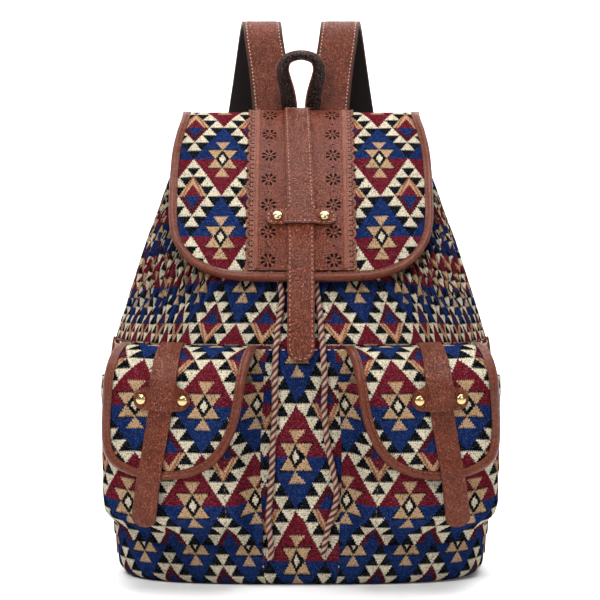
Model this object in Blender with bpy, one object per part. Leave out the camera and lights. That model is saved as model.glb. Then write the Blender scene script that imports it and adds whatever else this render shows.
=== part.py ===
"""A drawstring backpack in woven fabric with leather trim.

The bag stands on its base at z = 0, its front faces -Y and its back panel +Y. Lengths are
in metres. The body is measured in plan by an angle, from -180 degrees at the left side
seam through -90 at the middle of the front to 0 at the right side seam, and on to 180
round the back. Flaps, straps and trim are drawn flat and then laid onto curved surfaces.
"""
import math

import bmesh
import bpy
import numpy as np
from mathutils import Vector

MM = 0.001

# Clearance between pieces that touch on the real bag.
GAP = 0.3 * MM

# Sheet thicknesses.
FABRIC = 2.0 * MM
LEATHER = 1.5 * MM
STRAP = 1.8 * MM
BINDING = 1.0 * MM
BACK_PAD = 4.0 * MM
BASE_THICKNESS = 3.0 * MM

# Heights on the body.
BASE_RADIUS = 12 * MM
WAIST_Z = 189 * MM
CHANNEL_Z = 312 * MM
BACK_TOP_Z = 359 * MM

# Above the channel the back panel narrows by this angle at each side.
BACK_TRIM_ANGLE = 40
BACK_TRIM_FROM = 325 * MM
BACK_TRIM_OVER = 22 * MM

# Outer face of the body as (height, value) pairs in millimetres: its half width, the y of
# its front, back and widest line, and how square its front corners are.
HALF_WIDTH = ((0, 146), (60, 148.5), (120, 149), (189, 147.5), (215, 140), (243, 131.5), (267, 124),
              (283, 118), (307, 110), (325, 103.5), (359, 97))
FRONT_Y = ((0, -65), (60, -71), (120, -73), (188, -68.5), (215, -53), (243, -38), (270, -21.5),
           (300, 1), (322, 20), (359, 45))
BACK_Y = ((0, 73), (100, 75), (359, 75))
WIDEST_Y = ((0, 0), (188, 0), (243, 12), (300, 33), (322, 42), (359, 50))
FRONT_SQUARENESS = ((0, 3.2), (120, 3.4), (188, 3.0), (243, 2.6), (322, 2.4), (359, 2.4))
BACK_SQUARENESS = 5.0

# Columns of points round the front and back panels, and how much they favour corners.
FRONT_COLUMNS = 27
FRONT_ROWS = (40 * MM, 80 * MM, 120 * MM, 155 * MM)
BACK_COLUMNS = 17
BACK_ROWS = (60 * MM, 125 * MM, 189 * MM, 215 * MM, 243 * MM, 280 * MM, 312 * MM, 325 * MM, 337 * MM)
MOUTH_COLUMNS = 26
TURN_WEIGHT = 40 * MM

# Gathers of the upper panel.
PLEATS = 18
PLEAT_COLUMNS = 3
PLEAT_DEPTH = 4.0 * MM
PLEAT_FADE = 70 * MM
PLEAT_ROWS = (203 * MM, 224 * MM, 250 * MM, 280 * MM)

# Drawcord, the channel it runs in, and the eyelets it comes out through.
CORD_DIAMETER = 5.0 * MM
CORD_CLEARANCE = 0.9 * MM
CHANNEL_WALL = 2.1 * MM
CHANNEL_SLIT = 1.2 * MM
CHANNEL_SIZE = CORD_DIAMETER + 2 * CORD_CLEARANCE + 2 * CHANNEL_WALL
CORD_Z = CHANNEL_Z + CHANNEL_SIZE / 2
TAIL_SPACING = 2.5 * CORD_DIAMETER
EYELET_X = 15 * MM
EYELET_BORE = 6.0 * MM
EYELET_BARREL = 6.8 * MM
EYELET_FLANGE = 11 * MM
EYELET_THICKNESS = 0.9 * MM

# Route of each drawcord tail down the front, as (x, z) in millimetres.
TAIL_ROUTES = {
    "left": ((-15, 309), (-12.5, 296), (-12, 280), (-13.5, 262), (-16.5, 240), (-14.6, 222), (-18.5, 195),
             (-20, 163), (-20, 140), (-21.5, 117), (-22.3, 94), (-23.8, 71), (-25.2, 55), (-23.5, 40),
             (-23, 24)),
    "right": ((15, 309), (12.5, 296), (12, 280), (12, 262), (11, 240), (13, 224), (15.3, 201), (17.2, 180),
              (18.3, 160), (17.6, 146), (19.1, 124), (21.4, 109), (24.5, 94), (27, 80), (27.2, 70),
              (25, 61), (21.8, 52), (19.5, 42), (17, 26)),
}

# Path of the main flap's outer face, as (y, z), from the back seam over the ridge and down
# the front, carried on below its lower edge for the strap that hangs over the body.
FLAP_PATH = ((74.5, 359.6), (73.5, 363.5), (69, 366.5), (62, 367), (55, 364), (47, 358), (36, 349),
             (15.5, 331.5), (-11.5, 300), (-33, 270), (-49, 243), (-62, 215), (-71, 190), (-76.5, 170),
             (-77.5, 150))
FLAP_BENDS = [down * MM for down in (5, 9, 14, 20, 27, 36, 52, 75, 100, 125, 150, 172)]
FLAP_CREASES = [x * MM for x in (-98, -88, -72, -50, -20, 20, 50, 72, 88, 98)]

# How the flap's sides wrap round the body, and how its corners round off at the back seam.
FLAP_WRAP = 19 * MM
FLAP_WRAP_AT = 108 * MM
FLAP_WRAP_FROM = 20 * MM
FLAP_WRAP_OVER = 70 * MM
RIDGE_ROUNDING = 9 * MM
RIDGE_ROUNDED_OVER = 24 * MM

# Right half of the main flap's edge, as (x, distance down from the back seam).
FLAP_EDGE = ((97.5, 0), (97.8, 24), (101.5, 45), (104.5, 69), (105.6, 91), (105.6, 112), (105.2, 134),
             (103.6, 149), (100, 160.5), (94, 170.5), (86, 178.5), (75.5, 184.5), (62, 188.8), (47, 190.8),
             (24, 191.4), (0, 191.5))
FLAP_EDGE_SPACING = 11 * MM

# Leather folded over a flap's edge, and how far below the seam it starts.
BINDING_WIDTH = 7 * MM
FLAP_BINDING_START = 13.5 * MM
POCKET_BINDING_START = 3.5 * MM
BINDING_SLACK = 0.8 * MM

# Leather panel down the middle of the flap, with its scalloped sides and flower cut-outs.
LACE_HALF_WIDTH = 43.2 * MM
SCALLOP_PITCH = 9.2 * MM
SCALLOP_DEPTH = 1.6 * MM
FLOWER_X = 25.5 * MM
FLOWER_START = 25.6 * MM
FLOWER_PITCH = 24.9 * MM
FLOWER_COUNT = 7
PETALS = 8
PETAL_INNER = 1.9 * MM
PETAL_OUTER = 5.2 * MM
PETAL_WIDTH = 1.7 * MM

# A strap climbs over what lies under it within this length, starting this far ahead of it.
STRAP_CLIMB = 8 * MM
TEE_FILLET = 4 * MM
CLIMB_LEAD = 11 * MM

# Flap strap: a tee riveted to the flap, with a tongue that comes out from under it.
FLAP_STRAP_WIDTH = 21 * MM
FLAP_STRAP_TOP = 14 * MM
FLAP_STRAP_LEAN = -3.5 * MM
FLAP_TEE_AT = 137 * MM
FLAP_TEE_WIDTH = 55 * MM
FLAP_TEE_HEIGHT = 14.4 * MM
FLAP_TAB_CLEARANCE = 0.4 * MM
FLAP_TAB_STEP = 3 * MM
FLAP_TONGUE_LAP = 20 * MM
TONGUE_ROW = 14 * MM
FLAP_TONGUE_END = 256.5 * MM
FLAP_STUD_AT = FLAP_TONGUE_END - 6.5 * MM
FLAP_RIVET_SPREAD = 18.3 * MM

# Pockets, by distance round the front of the body from its middle, and by height.
POCKET_INNER = 33 * MM
POCKET_BOTTOM_Z = 38 * MM
POCKET_MOUTH_Z = 162 * MM
POCKET_DEPTH = 27 * MM
POCKET_CLEARANCE = 5.6 * MM
POCKET_SPRING = 3.5 * MM
POCKET_FALL = 34 * MM
POCKET_RISE = 22 * MM
POCKET_SEAM = 2 * MM
POCKET_HEM = 4 * MM
GUSSET_WIDTH = 20 * MM

# Edge of a pocket flap, as (distance round the body, distance down from the waist seam).
POCKET_FLAP_EDGE = ((40, 1), (43.5, 22), (44.8, 43), (45.3, 56), (47.4, 73), (51, 84.4), (55.2, 93.6),
                    (61.2, 102), (69.5, 108.8), (79.8, 113.6), (90, 115.8), (102, 116.5), (116, 114.5),
                    (126, 109.5), (132.4, 103.6), (136.4, 96.5), (138.6, 86), (139, 74), (138, 59),
                    (137.2, 48), (138, 34), (141, 16), (143, 1))
POCKET_EDGE_TOP = 1 * MM
POCKET_EDGE_SPACING = 10 * MM
POCKET_FLAP_BENDS = [down * MM for down in (7, 15, 23, 31, 39, 49, 75, 100)]
POCKET_FLAP_CREASES = [along * MM for along in (52, 68, 90, 110, 122, 132)]

# Pocket strap, built like the flap's.
POCKET_STRAP_WIDTH = 16 * MM
POCKET_TONGUE_WIDTH = 14.6 * MM
POCKET_STRAP_ALONG = 98.5 * MM
POCKET_STRAP_TOP_ALONG = 104 * MM
POCKET_TEE_AT = 55 * MM
POCKET_TEE_WIDTH = 34.5 * MM
POCKET_TEE_HEIGHT = 16.5 * MM
POCKET_TAB_STEP = 0.9 * MM
POCKET_TONGUE_END = 152.5 * MM
POCKET_TONGUE_END_ALONG = 109.5 * MM
POCKET_TONGUE_LAP = 10 * MM
POCKET_STUD_AT = POCKET_TONGUE_END - 9.5 * MM
POCKET_RIVET_SPREAD = 12.7 * MM

# Round pieces are shaded smooth up to this angle between faces, in degrees.
SHARP_ANGLE = 50

# Rivets and press studs.
RIVET_HEAD = 6.8 * MM
RIVET_DOME = 2.4 * MM
RIVET_SHANK = 3.0 * MM
RIVET_HOLE = 3.9 * MM
RIVET_CAP = 6.0 * MM
RIVET_CAP_THICKNESS = 0.9 * MM
FASTENER_SIDES = 8
STUD_DIAMETER = 10 * MM
STUD_POST = 3.4 * MM
STUD_SOCKET = 4.4 * MM
STUD_SEAT = 1.7 * MM

# Side seam piping.
PIPING_DIAMETER = 3.4 * MM

# Shoulder straps: the line between leather and lining, as left strap points.
SHOULDER_LINE = ((-23, 79.2, 314), (-23, 79.4, 338), (-23.4, 84.4, 356), (-24.7, 90, 376),
                 (-27.8, 96.4, 405), (-31.3, 102, 428), (-32.8, 109, 438.5), (-34.3, 118, 440),
                 (-36.5, 127, 432), (-39.8, 134, 412), (-44.7, 137, 380), (-52, 134, 335),
                 (-61.5, 126, 288), (-72, 116, 242), (-82, 106, 200))
STRAP_SPACING = 24 * MM
SHOULDER_WIDTH = 32 * MM
SHOULDER_LEATHER = 3.4 * MM
SHOULDER_LINING = 2.6 * MM
SHOULDER_END = 1.4 * MM
SHOULDER_TAPER = 8 * MM

# Webbing from the strap's end through its adjuster to the bottom corner.
WEBBING_WIDTH = 20 * MM
WEBBING_THICKNESS = 1.3 * MM
WEBBING_TOP = (-78.5, 104.5, 214)
WEBBING_FOOT = (-124, 77.6, 34)
WEBBING_SEWN = 20 * MM
ADJUSTER_AT = 0.27
ADJUSTER_LENGTH = 26 * MM
ADJUSTER_RAIL = 3.2 * MM
ADJUSTER_BAR = 3.6 * MM
ADJUSTER_THICKNESS = 1.8 * MM
ADJUSTER_WEAVE = 5.6 * MM
ADJUSTER_PLAY = 0.8 * MM

# Patches on the back panel that carry the straps and the handle.
ANCHOR_HALF_WIDTH = 50 * MM
ANCHOR_BOTTOM_Z = 308 * MM
ANCHOR_TOP_Z = 346 * MM
TAB_SIDE = 34 * MM

# Carrying handle, right half of its middle line.
HANDLE_LINE = ((3.4, 80.0, 314), (3.4, 80.0, 340), (3.6, 80.0, 353), (7, 79.2, 362), (10, 78.0, 371),
               (12, 75.4, 385), (14.8, 74, 397), (15.2, 74, 404), (11, 74, 411.5), (0, 74, 414.5))
HANDLE_WIDTHS = ((314, 5.8), (340, 5.8), (353, 5.8), (362, 10.5), (372, 14.5), (388, 13.5),
                 (402, 11.5), (415, 8.4))
HANDLE_DEPTHS = ((314, 5), (353, 5), (362, 5.6), (372, 8), (388, 11), (402, 13), (415, 13))
HANDLE_SPACING = 11 * MM

# Colours: base colour, roughness and metallic.
FINISHES = {
    "woven_fabric": ((0.19, 0.11, 0.11), 0.92, 0.0),
    "brown_leather": ((0.26, 0.07, 0.035), 0.42, 0.0),
    "binding_leather": ((0.23, 0.055, 0.03), 0.32, 0.0),
    "dark_leather": ((0.03, 0.018, 0.017), 0.5, 0.0),
    "dark_lining": ((0.018, 0.014, 0.014), 0.85, 0.0),
    "twisted_cord": ((0.24, 0.09, 0.07), 0.7, 0.0),
    "gold_metal": ((0.75, 0.52, 0.25), 0.25, 1.0),
    "black_webbing": ((0.02, 0.016, 0.016), 0.8, 0.0),
}


def through(keys, at):
    """Smooth curve through (place, value) pairs in millimetres, read at a place in metres."""
    places = np.array([key[0] for key in keys], float) * MM
    values = np.array([key[1] for key in keys], float) * MM
    slopes = np.gradient(values, places)
    index = int(np.clip(np.searchsorted(places, at) - 1, 0, len(places) - 2))
    width = places[index + 1] - places[index]
    t = (np.clip(at, places[0], places[-1]) - places[index]) / width
    return (values[index] * (2 * t**3 - 3 * t**2 + 1) + slopes[index] * width * (t**3 - 2 * t**2 + t)
            + values[index + 1] * (3 * t**2 - 2 * t**3) + slopes[index + 1] * width * (t**3 - t**2))


def ease(t):
    """Smooth step from 0 to 1."""
    t = min(max(t, 0.0), 1.0)
    return t * t * (3 - 2 * t)


def smooth_path(points, steps):
    """Close points on a smooth curve through the given ones, steps to each span."""
    path = np.array(points, float)
    result = []
    for index in range(len(path) - 1):
        before, start = path[max(index - 1, 0)], path[index]
        end, after = path[index + 1], path[min(index + 2, len(path) - 1)]
        for t in np.arange(steps) / steps:
            result.append(0.5 * (2 * start + (end - before) * t
                                 + (2 * before - 5 * start + 4 * end - after) * t**2
                                 + (3 * start - before - 3 * end + after) * t**3))
    result.append(path[-1])
    return np.array(result)


def spaced_path(points, spacing, bends=()):
    """Evenly spaced points on a smooth curve through the given ones, and some where it crosses bends."""
    fine = smooth_path(points, 12)
    distance = np.concatenate([[0], np.cumsum(np.linalg.norm(np.diff(fine, axis=0), axis=1))])
    count = max(2, round(distance[-1] / spacing) + 1)
    places = list(np.linspace(0, distance[-1], count))
    for bend in bends:
        crossing = np.flatnonzero(np.diff(np.sign(fine[:, 1] - bend)))
        marks = [distance[index] for index in crossing]
        places = [place for place in places if all(abs(place - mark) > spacing / 3 for mark in marks)
                  or place in (0, distance[-1])] + marks
    places = sorted(places)
    return np.array([[np.interp(place, distance, fine[:, axis]) for axis in range(fine.shape[1])]
                     for place in places])


def body_point(angle, z, inset=0.0):
    """Point of the body's outer face, moved in by inset, at an angle in degrees and a height."""
    cos, sin = math.cos(math.radians(angle)), math.sin(math.radians(angle))
    middle = through(WIDEST_Y, z)
    if sin < 0:
        depth = middle - through(FRONT_Y, z) - inset
        power = 2 / (through(FRONT_SQUARENESS, z) / MM)
    else:
        depth = through(BACK_Y, z) - middle - inset
        power = 2 / BACK_SQUARENESS
    across = through(HALF_WIDTH, z) - inset
    return Vector((math.copysign(across * abs(cos)**power, cos),
                   middle + math.copysign(depth * abs(sin)**power, sin), z))


def seam_angle(squareness, depth):
    """Angle that keeps a panel's edge half a gap from the widest line, where its corner is so square."""
    return math.degrees((GAP / 2 / depth)**(squareness / 2))


def round_body():
    """Angles round the front from its middle to the side seam, and their distances, at pocket height."""
    angles = np.linspace(-90, 0, 181)
    points = np.array([body_point(angle, (POCKET_BOTTOM_Z + WAIST_Z) / 2) for angle in angles])
    return angles, np.concatenate([[0], np.cumsum(np.linalg.norm(np.diff(points, axis=0), axis=1))])


BODY_ROUND = round_body()
SEAM_ALONG = BODY_ROUND[1][-1]


def front_point(along, z, lift=0.0):
    """Point on the body's front, at a distance round it from its middle, lifted off its face."""
    angle = float(np.interp(abs(along), BODY_ROUND[1], BODY_ROUND[0]))
    here = body_point(angle, z)
    run = body_point(min(angle + 1, 0), z) - body_point(max(angle - 1, -90), z)
    outward = Vector((-run.y, run.x, 0)).normalized() * -1
    point = here + outward * lift
    return Vector((math.copysign(point.x, along), point.y, point.z))


def flap_lines():
    """Distance down the main flap's path, with the y and z there, at close points."""
    path = smooth_path(np.array(FLAP_PATH) * MM, 24)
    distance = np.concatenate([[0], np.cumsum(np.hypot(*np.diff(path, axis=0).T))])
    return distance, path[:, 0], path[:, 1]


FLAP_LINES = flap_lines()


def flap_point(x, down):
    """Point of the main flap's outer face, at x and a distance down from the back seam."""
    y = float(np.interp(down, FLAP_LINES[0], FLAP_LINES[1]))
    z = float(np.interp(down, FLAP_LINES[0], FLAP_LINES[2]))
    wrap = FLAP_WRAP * (abs(x) / FLAP_WRAP_AT)**2.4 * ease((down - FLAP_WRAP_FROM) / FLAP_WRAP_OVER)
    corner = (abs(x) / through(HALF_WIDTH, BACK_TOP_Z))**BACK_SQUARENESS
    round_off = RIDGE_ROUNDING * corner * (1 - ease(down / RIDGE_ROUNDED_OVER))
    return Vector((x, y + wrap - round_off, z))


def pocket_lift(along, z):
    """How far a pocket's outer face stands off the body."""
    share = (abs(along) - POCKET_INNER) / (SEAM_ALONG - POCKET_INNER)
    across = ease(share / 0.13) * (1 - ease((share - 0.5) / 0.5))
    return POCKET_DEPTH * across * ease((z - POCKET_BOTTOM_Z) / POCKET_RISE)


def pocket_flap_point(along, down):
    """Point of a pocket flap's outer face, at a distance round the body and down from the waist seam."""
    share = (abs(along) - POCKET_INNER) / (SEAM_ALONG - POCKET_INNER)
    sewn = FABRIC + GAP
    off_body = POCKET_DEPTH + POCKET_CLEARANCE - (POCKET_DEPTH - POCKET_SPRING) * ease((share - 0.5) / 0.5)
    turn = math.pi / 4 * (POCKET_FALL + off_body)
    if down < turn:
        angle = down / turn * math.pi / 2
        lift = sewn + (off_body - sewn) * math.sin(angle)
        return front_point(along, WAIST_Z - POCKET_FALL * (1 - math.cos(angle)), lift)
    return front_point(along, WAIST_Z - POCKET_FALL - (down - turn), off_body)


def back_point(x, z):
    """Point of the back panel's outer face at x and a height."""
    middle, back = through(WIDEST_Y, z), through(BACK_Y, z)
    share = min(abs(x) / through(HALF_WIDTH, z), 1.0)
    return Vector((x, middle + (back - middle) * (1 - share**BACK_SQUARENESS)**(1 / BACK_SQUARENESS), z))


def lifted(surface, u, v, lift):
    """Point of a surface moved off it along its outward normal."""
    step = 0.4 * MM
    centre = surface(u, v)
    across = surface(u + step, v) - surface(u - step, v)
    along = surface(u, v + step) - surface(u, max(v - step, 0.0))
    normal = across.cross(along).normalized()
    if normal.dot(OUTWARD[surface]) < 0:
        normal.negate()
    if lift == 0:
        return centre
    return centre + normal * lift


OUTWARD = {
    flap_point: Vector((0, -0.7, 0.7)),
    pocket_flap_point: Vector((0, -1, 0.2)),
    back_point: Vector((0, 1, 0)),
}


def make_material(slot):
    """Material of one finish, made once."""
    if slot in bpy.data.materials:
        return bpy.data.materials[slot]
    colour, roughness, metallic = FINISHES[slot]
    material = bpy.data.materials.new(slot)
    material.use_nodes = True
    shader = material.node_tree.nodes["Principled BSDF"]
    shader.inputs["Base Color"].default_value = (*colour, 1)
    shader.inputs["Roughness"].default_value = roughness
    shader.inputs["Metallic"].default_value = metallic
    material.diffuse_color = (*colour, 1)
    return material


def add_solid(name, bm, slot, round_piece=False):
    """Object of one closed body from a bmesh, with its faces turned outwards."""
    bmesh.ops.triangulate(bm, faces=bm.faces[:])
    bmesh.ops.recalc_face_normals(bm, faces=bm.faces[:])
    if bm.calc_volume(signed=True) < 0:
        bmesh.ops.reverse_faces(bm, faces=bm.faces[:])
    mesh = bpy.data.meshes.new(name)
    bm.to_mesh(mesh)
    bm.free()
    if round_piece:
        mesh.shade_smooth()
        mesh.set_sharp_from_angle(angle=math.radians(SHARP_ANGLE))
    mesh.materials.append(make_material(slot))
    solid = bpy.data.objects.new(name, mesh)
    bpy.context.scene.collection.objects.link(solid)
    return solid


def sheet_solid(name, outer, inner, slot, closed=False):
    """Solid between two grids of points, rows by columns, closed round each row if asked."""
    bm = bmesh.new()
    layers = [[[bm.verts.new(point) for point in row] for row in grid] for grid in (outer, inner)]
    rows, columns = len(outer), len(outer[0])
    spans = columns if closed else columns - 1
    for layer in layers:
        for r in range(rows - 1):
            for c in range(spans):
                d = (c + 1) % columns
                bm.faces.new((layer[r][c], layer[r][d], layer[r + 1][d], layer[r + 1][c]))
    for r in (0, rows - 1):
        for c in range(spans):
            d = (c + 1) % columns
            bm.faces.new((layers[0][r][c], layers[0][r][d], layers[1][r][d], layers[1][r][c]))
    if not closed:
        for c in (0, columns - 1):
            for r in range(rows - 1):
                bm.faces.new((layers[0][r][c], layers[0][r + 1][c], layers[1][r + 1][c], layers[1][r][c]))
    return add_solid(name, bm, slot)


def swept_solid(name, sections, slot, closed=False, cap=None, round_piece=False):
    """Solid through equal cross-sections, joined into a ring or capped by faces of the given corners."""
    bm = bmesh.new()
    rings = [[bm.verts.new(point) for point in section] for section in sections]
    size = len(rings[0])
    pairs = list(zip(rings, rings[1:]))
    if closed:
        pairs.append((rings[-1], rings[0]))
    for ring, following in pairs:
        for a in range(size):
            b = (a + 1) % size
            bm.faces.new((ring[a], ring[b], following[b], following[a]))
    if not closed:
        for ring in (rings[0], rings[-1]):
            for corners in cap or [range(size)]:
                bm.faces.new([ring[corner] for corner in corners])
    return add_solid(name, bm, slot, round_piece)


def turned_solid(name, profile, origin, axis, slot, sides=16):
    """Solid turned from (radius, height) points about an axis; a ring if it keeps off the axis."""
    axis = axis.normalized()
    across = axis.orthogonal().normalized()
    other = axis.cross(across)
    bm = bmesh.new()
    rings = []
    for radius, height in profile:
        if radius == 0:
            rings.append([bm.verts.new(origin + axis * height)])
            continue
        turns = [2 * math.pi * side / sides for side in range(sides)]
        rings.append([bm.verts.new(origin + axis * height + across * radius * math.cos(turn)
                                   + other * radius * math.sin(turn)) for turn in turns])
    pairs = list(zip(rings, rings[1:]))
    if profile[0][0] > 0:
        pairs.append((rings[-1], rings[0]))
    for ring, following in pairs:
        for side in range(sides):
            far = (side + 1) % sides
            corners = [ring[side % len(ring)], ring[far % len(ring)],
                       following[far % len(following)], following[side % len(following)]]
            bm.faces.new(list(dict.fromkeys(corners)))
    return add_solid(name, bm, slot, round_piece=True)


def flat_plate(outline, holes, cuts_u, cuts_v):
    """Flat bmesh of an outline with holes, cut along lines of constant u and v."""
    bm = bmesh.new()
    edges = []
    for loop in (outline, *holes):
        verts = [bm.verts.new((point[0], point[1], 0)) for point in loop]
        edges += [bm.edges.new(pair) for pair in zip(verts, verts[1:] + verts[:1])]
    bmesh.ops.triangle_fill(bm, use_beauty=True, use_dissolve=False, edges=edges, normal=(0, 0, 1))
    for axis, cuts in ((0, cuts_u), (1, cuts_v)):
        for cut in cuts:
            place, normal = Vector(), Vector()
            place[axis], normal[axis] = cut, 1
            geometry = bm.verts[:] + bm.edges[:] + bm.faces[:]
            made = bmesh.ops.bisect_plane(bm, geom=geometry, dist=0.02 * MM, plane_co=place, plane_no=normal)
            for item in made["geom_cut"]:
                if isinstance(item, bmesh.types.BMEdge):
                    item.seam = True
    bmesh.ops.dissolve_limit(bm, angle_limit=0.01, use_dissolve_boundaries=False, verts=[],
                             edges=[edge for edge in bm.edges if not edge.seam and len(edge.link_faces) == 2],
                             delimit={"SEAM"})
    spare = [vert for vert in bm.verts if len(vert.link_edges) == 2 and not vert.is_boundary]
    bmesh.ops.dissolve_verts(bm, verts=spare)
    bmesh.ops.triangulate(bm, faces=bm.faces[:])
    return bm


def laid_plate(name, surface, outline, low, high, slot, holes=(), cuts_u=(), cuts_v=(), side=1):
    """Solid sheet laid on a surface between two lifts, drawn flat for the right-hand side."""
    def lay(u, v):
        return [lifted(surface, side * u, v, lift(u, v)) for lift in (low, high)]

    return plate_solid(name, flat_plate(outline, holes, cuts_u, cuts_v), lay, slot)


def plate_solid(name, flat, lay, slot):
    """Solid sheet from a flat bmesh; lay gives the place of each of its points in both layers."""
    bm = bmesh.new()
    layers = [{}, {}]
    for vert in flat.verts:
        for layer, place in zip(layers, lay(vert.co.x, vert.co.y)):
            layer[vert] = bm.verts.new(place)
    for face in flat.faces:
        for layer in layers:
            bm.faces.new([layer[vert] for vert in face.verts])
    for edge in flat.edges:
        if len(edge.link_faces) == 1:
            start, end = edge.verts
            bm.faces.new((layers[0][start], layers[0][end], layers[1][end], layers[1][start]))
    flat.free()
    return add_solid(name, bm, slot)


def constant(value):
    """Lift that is the same everywhere."""
    return lambda u, v: value


def inward_offset(path, amount):
    """A line drawn flat, moved to its left by an amount."""
    path = np.array(path, float)
    run = np.gradient(path, axis=0)
    run /= np.linalg.norm(run, axis=1)[:, None]
    return path + np.stack([-run[:, 1], run[:, 0]], axis=1) * amount


def laid_binding(name, surface, edge, side=1):
    """Channel of leather folded over a sheet's edge, for an edge drawn with the sheet on its left."""
    over, under = BINDING_SLACK, -FABRIC - BINDING_SLACK
    outer, inner = over + BINDING, under - BINDING
    profile = ((0, inner), (0, outer), (BINDING_WIDTH, outer), (BINDING_WIDTH, over), (BINDING, over),
               (BINDING, under), (BINDING_WIDTH, under), (BINDING_WIDTH, inner))
    lines = [inward_offset(edge, inset) for inset, _ in profile]
    sections = []
    for index in range(len(edge)):
        sections.append([lifted(surface, side * line[index][0], max(line[index][1], 0.0), lift)
                         for line, (_, lift) in zip(lines, profile)])
    return swept_solid(name, sections, "binding_leather", cap=((1, 2, 3, 4), (0, 1, 4, 5), (0, 5, 6, 7)))


def circle(u, v, diameter, sides=8):
    """Flat loop of points round a centre."""
    return [(u + diameter / 2 * math.cos(2 * math.pi * k / sides),
             v + diameter / 2 * math.sin(2 * math.pi * k / sides)) for k in range(sides)]


def strip_sections(path, width, depth, lie):
    """Cross-sections with chamfered corners along a path; lie is the width's direction."""
    sections = []
    runs = np.gradient(path, axis=0)
    for index, (point, run) in enumerate(zip(path, runs)):
        run = Vector(run).normalized()
        across = Vector(lie(index)) if callable(lie) else Vector(lie)
        across = (across - run * across.dot(run)).normalized()
        normal = run.cross(across)
        half, low, high = width(index) / 2, *depth(index)
        cut = min((high - low) * 0.3, half * 0.3)
        corners = ((-half, low + cut), (-half + cut, low), (half - cut, low), (half, low + cut),
                   (half, high - cut), (half - cut, high), (-half + cut, high), (-half, high - cut))
        sections.append([Vector(point) + across * a + normal * n for a, n in corners])
    return sections


def spread_angles(start, end, count, z):
    """Angles round the body at a height, evenly spaced along it and closer where it turns."""
    fine = np.linspace(start, end, 400)
    points = np.array([body_point(angle, z)[:2] for angle in fine])
    steps = np.diff(points, axis=0)
    headings = np.unwrap(np.arctan2(steps[:, 1], steps[:, 0]))
    turning = np.concatenate([[0], np.abs(np.diff(headings))])
    weight = np.concatenate([[0], np.cumsum(np.hypot(*steps.T) + TURN_WEIGHT * turning)])
    return np.interp(np.linspace(0, weight[-1], count), weight, fine)


def front_seam(z):
    """Seam angle of the front at a height."""
    return seam_angle(through(FRONT_SQUARENESS, z) / MM, through(WIDEST_Y, z) - through(FRONT_Y, z))


def back_seam(z):
    """Seam angle of the back panel at a height."""
    return seam_angle(BACK_SQUARENESS, through(BACK_Y, z) - through(WIDEST_Y, z))


def front_columns():
    """Angles of the lower front panel's columns of points."""
    seam = front_seam(WAIST_Z)
    return spread_angles(-180 + seam, -seam, FRONT_COLUMNS, WAIST_Z)


def build_body():
    """Base, lower front, gathered upper front and back panel, with piping down the side seams."""
    rounding = []
    for share in (0, 0.4, 0.75, 1):
        turn = share * math.pi / 2
        rounding.append((math.sin(turn), math.cos(turn)))

    def panel_rows(thickness, top_rows):
        rows = []
        for sin, cos in rounding:
            inner = BASE_RADIUS - thickness
            rows.append(((BASE_RADIUS * (1 - sin), BASE_RADIUS * (1 - cos)),
                         (BASE_RADIUS - inner * sin, BASE_RADIUS - inner * cos)))
        rows += [((0, z), (thickness, z)) for z in top_rows]
        return rows

    front_angles = front_columns()
    back_angles = spread_angles(back_seam(0), 180 - back_seam(0), BACK_COLUMNS, 0)
    front_rows = panel_rows(FABRIC, [*FRONT_ROWS, WAIST_Z - GAP])
    sheet_solid("lower_front_panel",
                [[body_point(a, z, inset) for a in front_angles] for (inset, z), _ in front_rows],
                [[body_point(a, z, inset) for a in front_angles] for _, (inset, z) in front_rows],
                "woven_fabric")

    back_rows = panel_rows(BACK_PAD, [*BACK_ROWS, BACK_TOP_Z])
    outer, inner = [], []
    for (inset, z), (deep, inner_z) in back_rows:
        trim = back_seam(z) + BACK_TRIM_ANGLE * ease((z - BACK_TRIM_FROM) / BACK_TRIM_OVER)
        angles = spread_angles(trim, 180 - trim, BACK_COLUMNS, z)
        outer.append([body_point(a, z, inset) for a in angles])
        inner.append([body_point(a, inner_z, deep) for a in angles])
    sheet_solid("back_panel", outer, inner, "woven_fabric")

    seam = front_seam(CHANNEL_Z)
    angles = spread_angles(-180 + seam, -seam, PLEATS * PLEAT_COLUMNS + 1, CHANNEL_Z)
    outer, inner = [], []
    for z in (WAIST_Z, *PLEAT_ROWS, CHANNEL_Z - GAP):
        fade = ease((z - WAIST_Z) / PLEAT_FADE)
        row_out, row_in = [], []
        for index, angle in enumerate(angles):
            fold = PLEAT_DEPTH * fade * (0.5 - 0.5 * math.cos(2 * math.pi * index / PLEAT_COLUMNS))
            row_out.append(body_point(angle, z, fold))
            row_in.append(body_point(angle, z, fold + FABRIC))
        outer.append(row_out)
        inner.append(row_in)
    sheet_solid("upper_gathered_panel", outer, inner, "woven_fabric")

    rim = [body_point(angle, 0, BASE_RADIUS + GAP) for angle in (*front_angles, *back_angles)]
    top = [point + Vector((0, 0, BASE_THICKNESS)) for point in rim]
    swept_solid("base_panel", [rim, top], "woven_fabric")

    for side, name in ((-1, "left"), (1, "right")):
        sections = []
        for z in np.linspace(BASE_RADIUS, WAIST_Z - 2 * GAP, 8):
            radius = PIPING_DIAMETER / 2
            centre = Vector((side * (through(HALF_WIDTH, z) + radius + GAP), through(WIDEST_Y, z), z))
            sections.append([centre + Vector((radius * math.cos(t), radius * math.sin(t), 0))
                             for t in np.arange(8) * math.pi / 4])
        swept_solid("side_piping_" + name, sections, "binding_leather", round_piece=True)


def channel_point(angle, inset, z):
    """Point of the upright channel, which lies inside the back panel and on top of the front."""
    behind = ease(1 + math.sin(math.radians(angle)) * 4)
    point = body_point(angle, CORD_Z + CHANNEL_SIZE / 2 * behind, inset + (BACK_PAD + 5 * GAP) * behind)
    return Vector((point.x, point.y, z))


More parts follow.
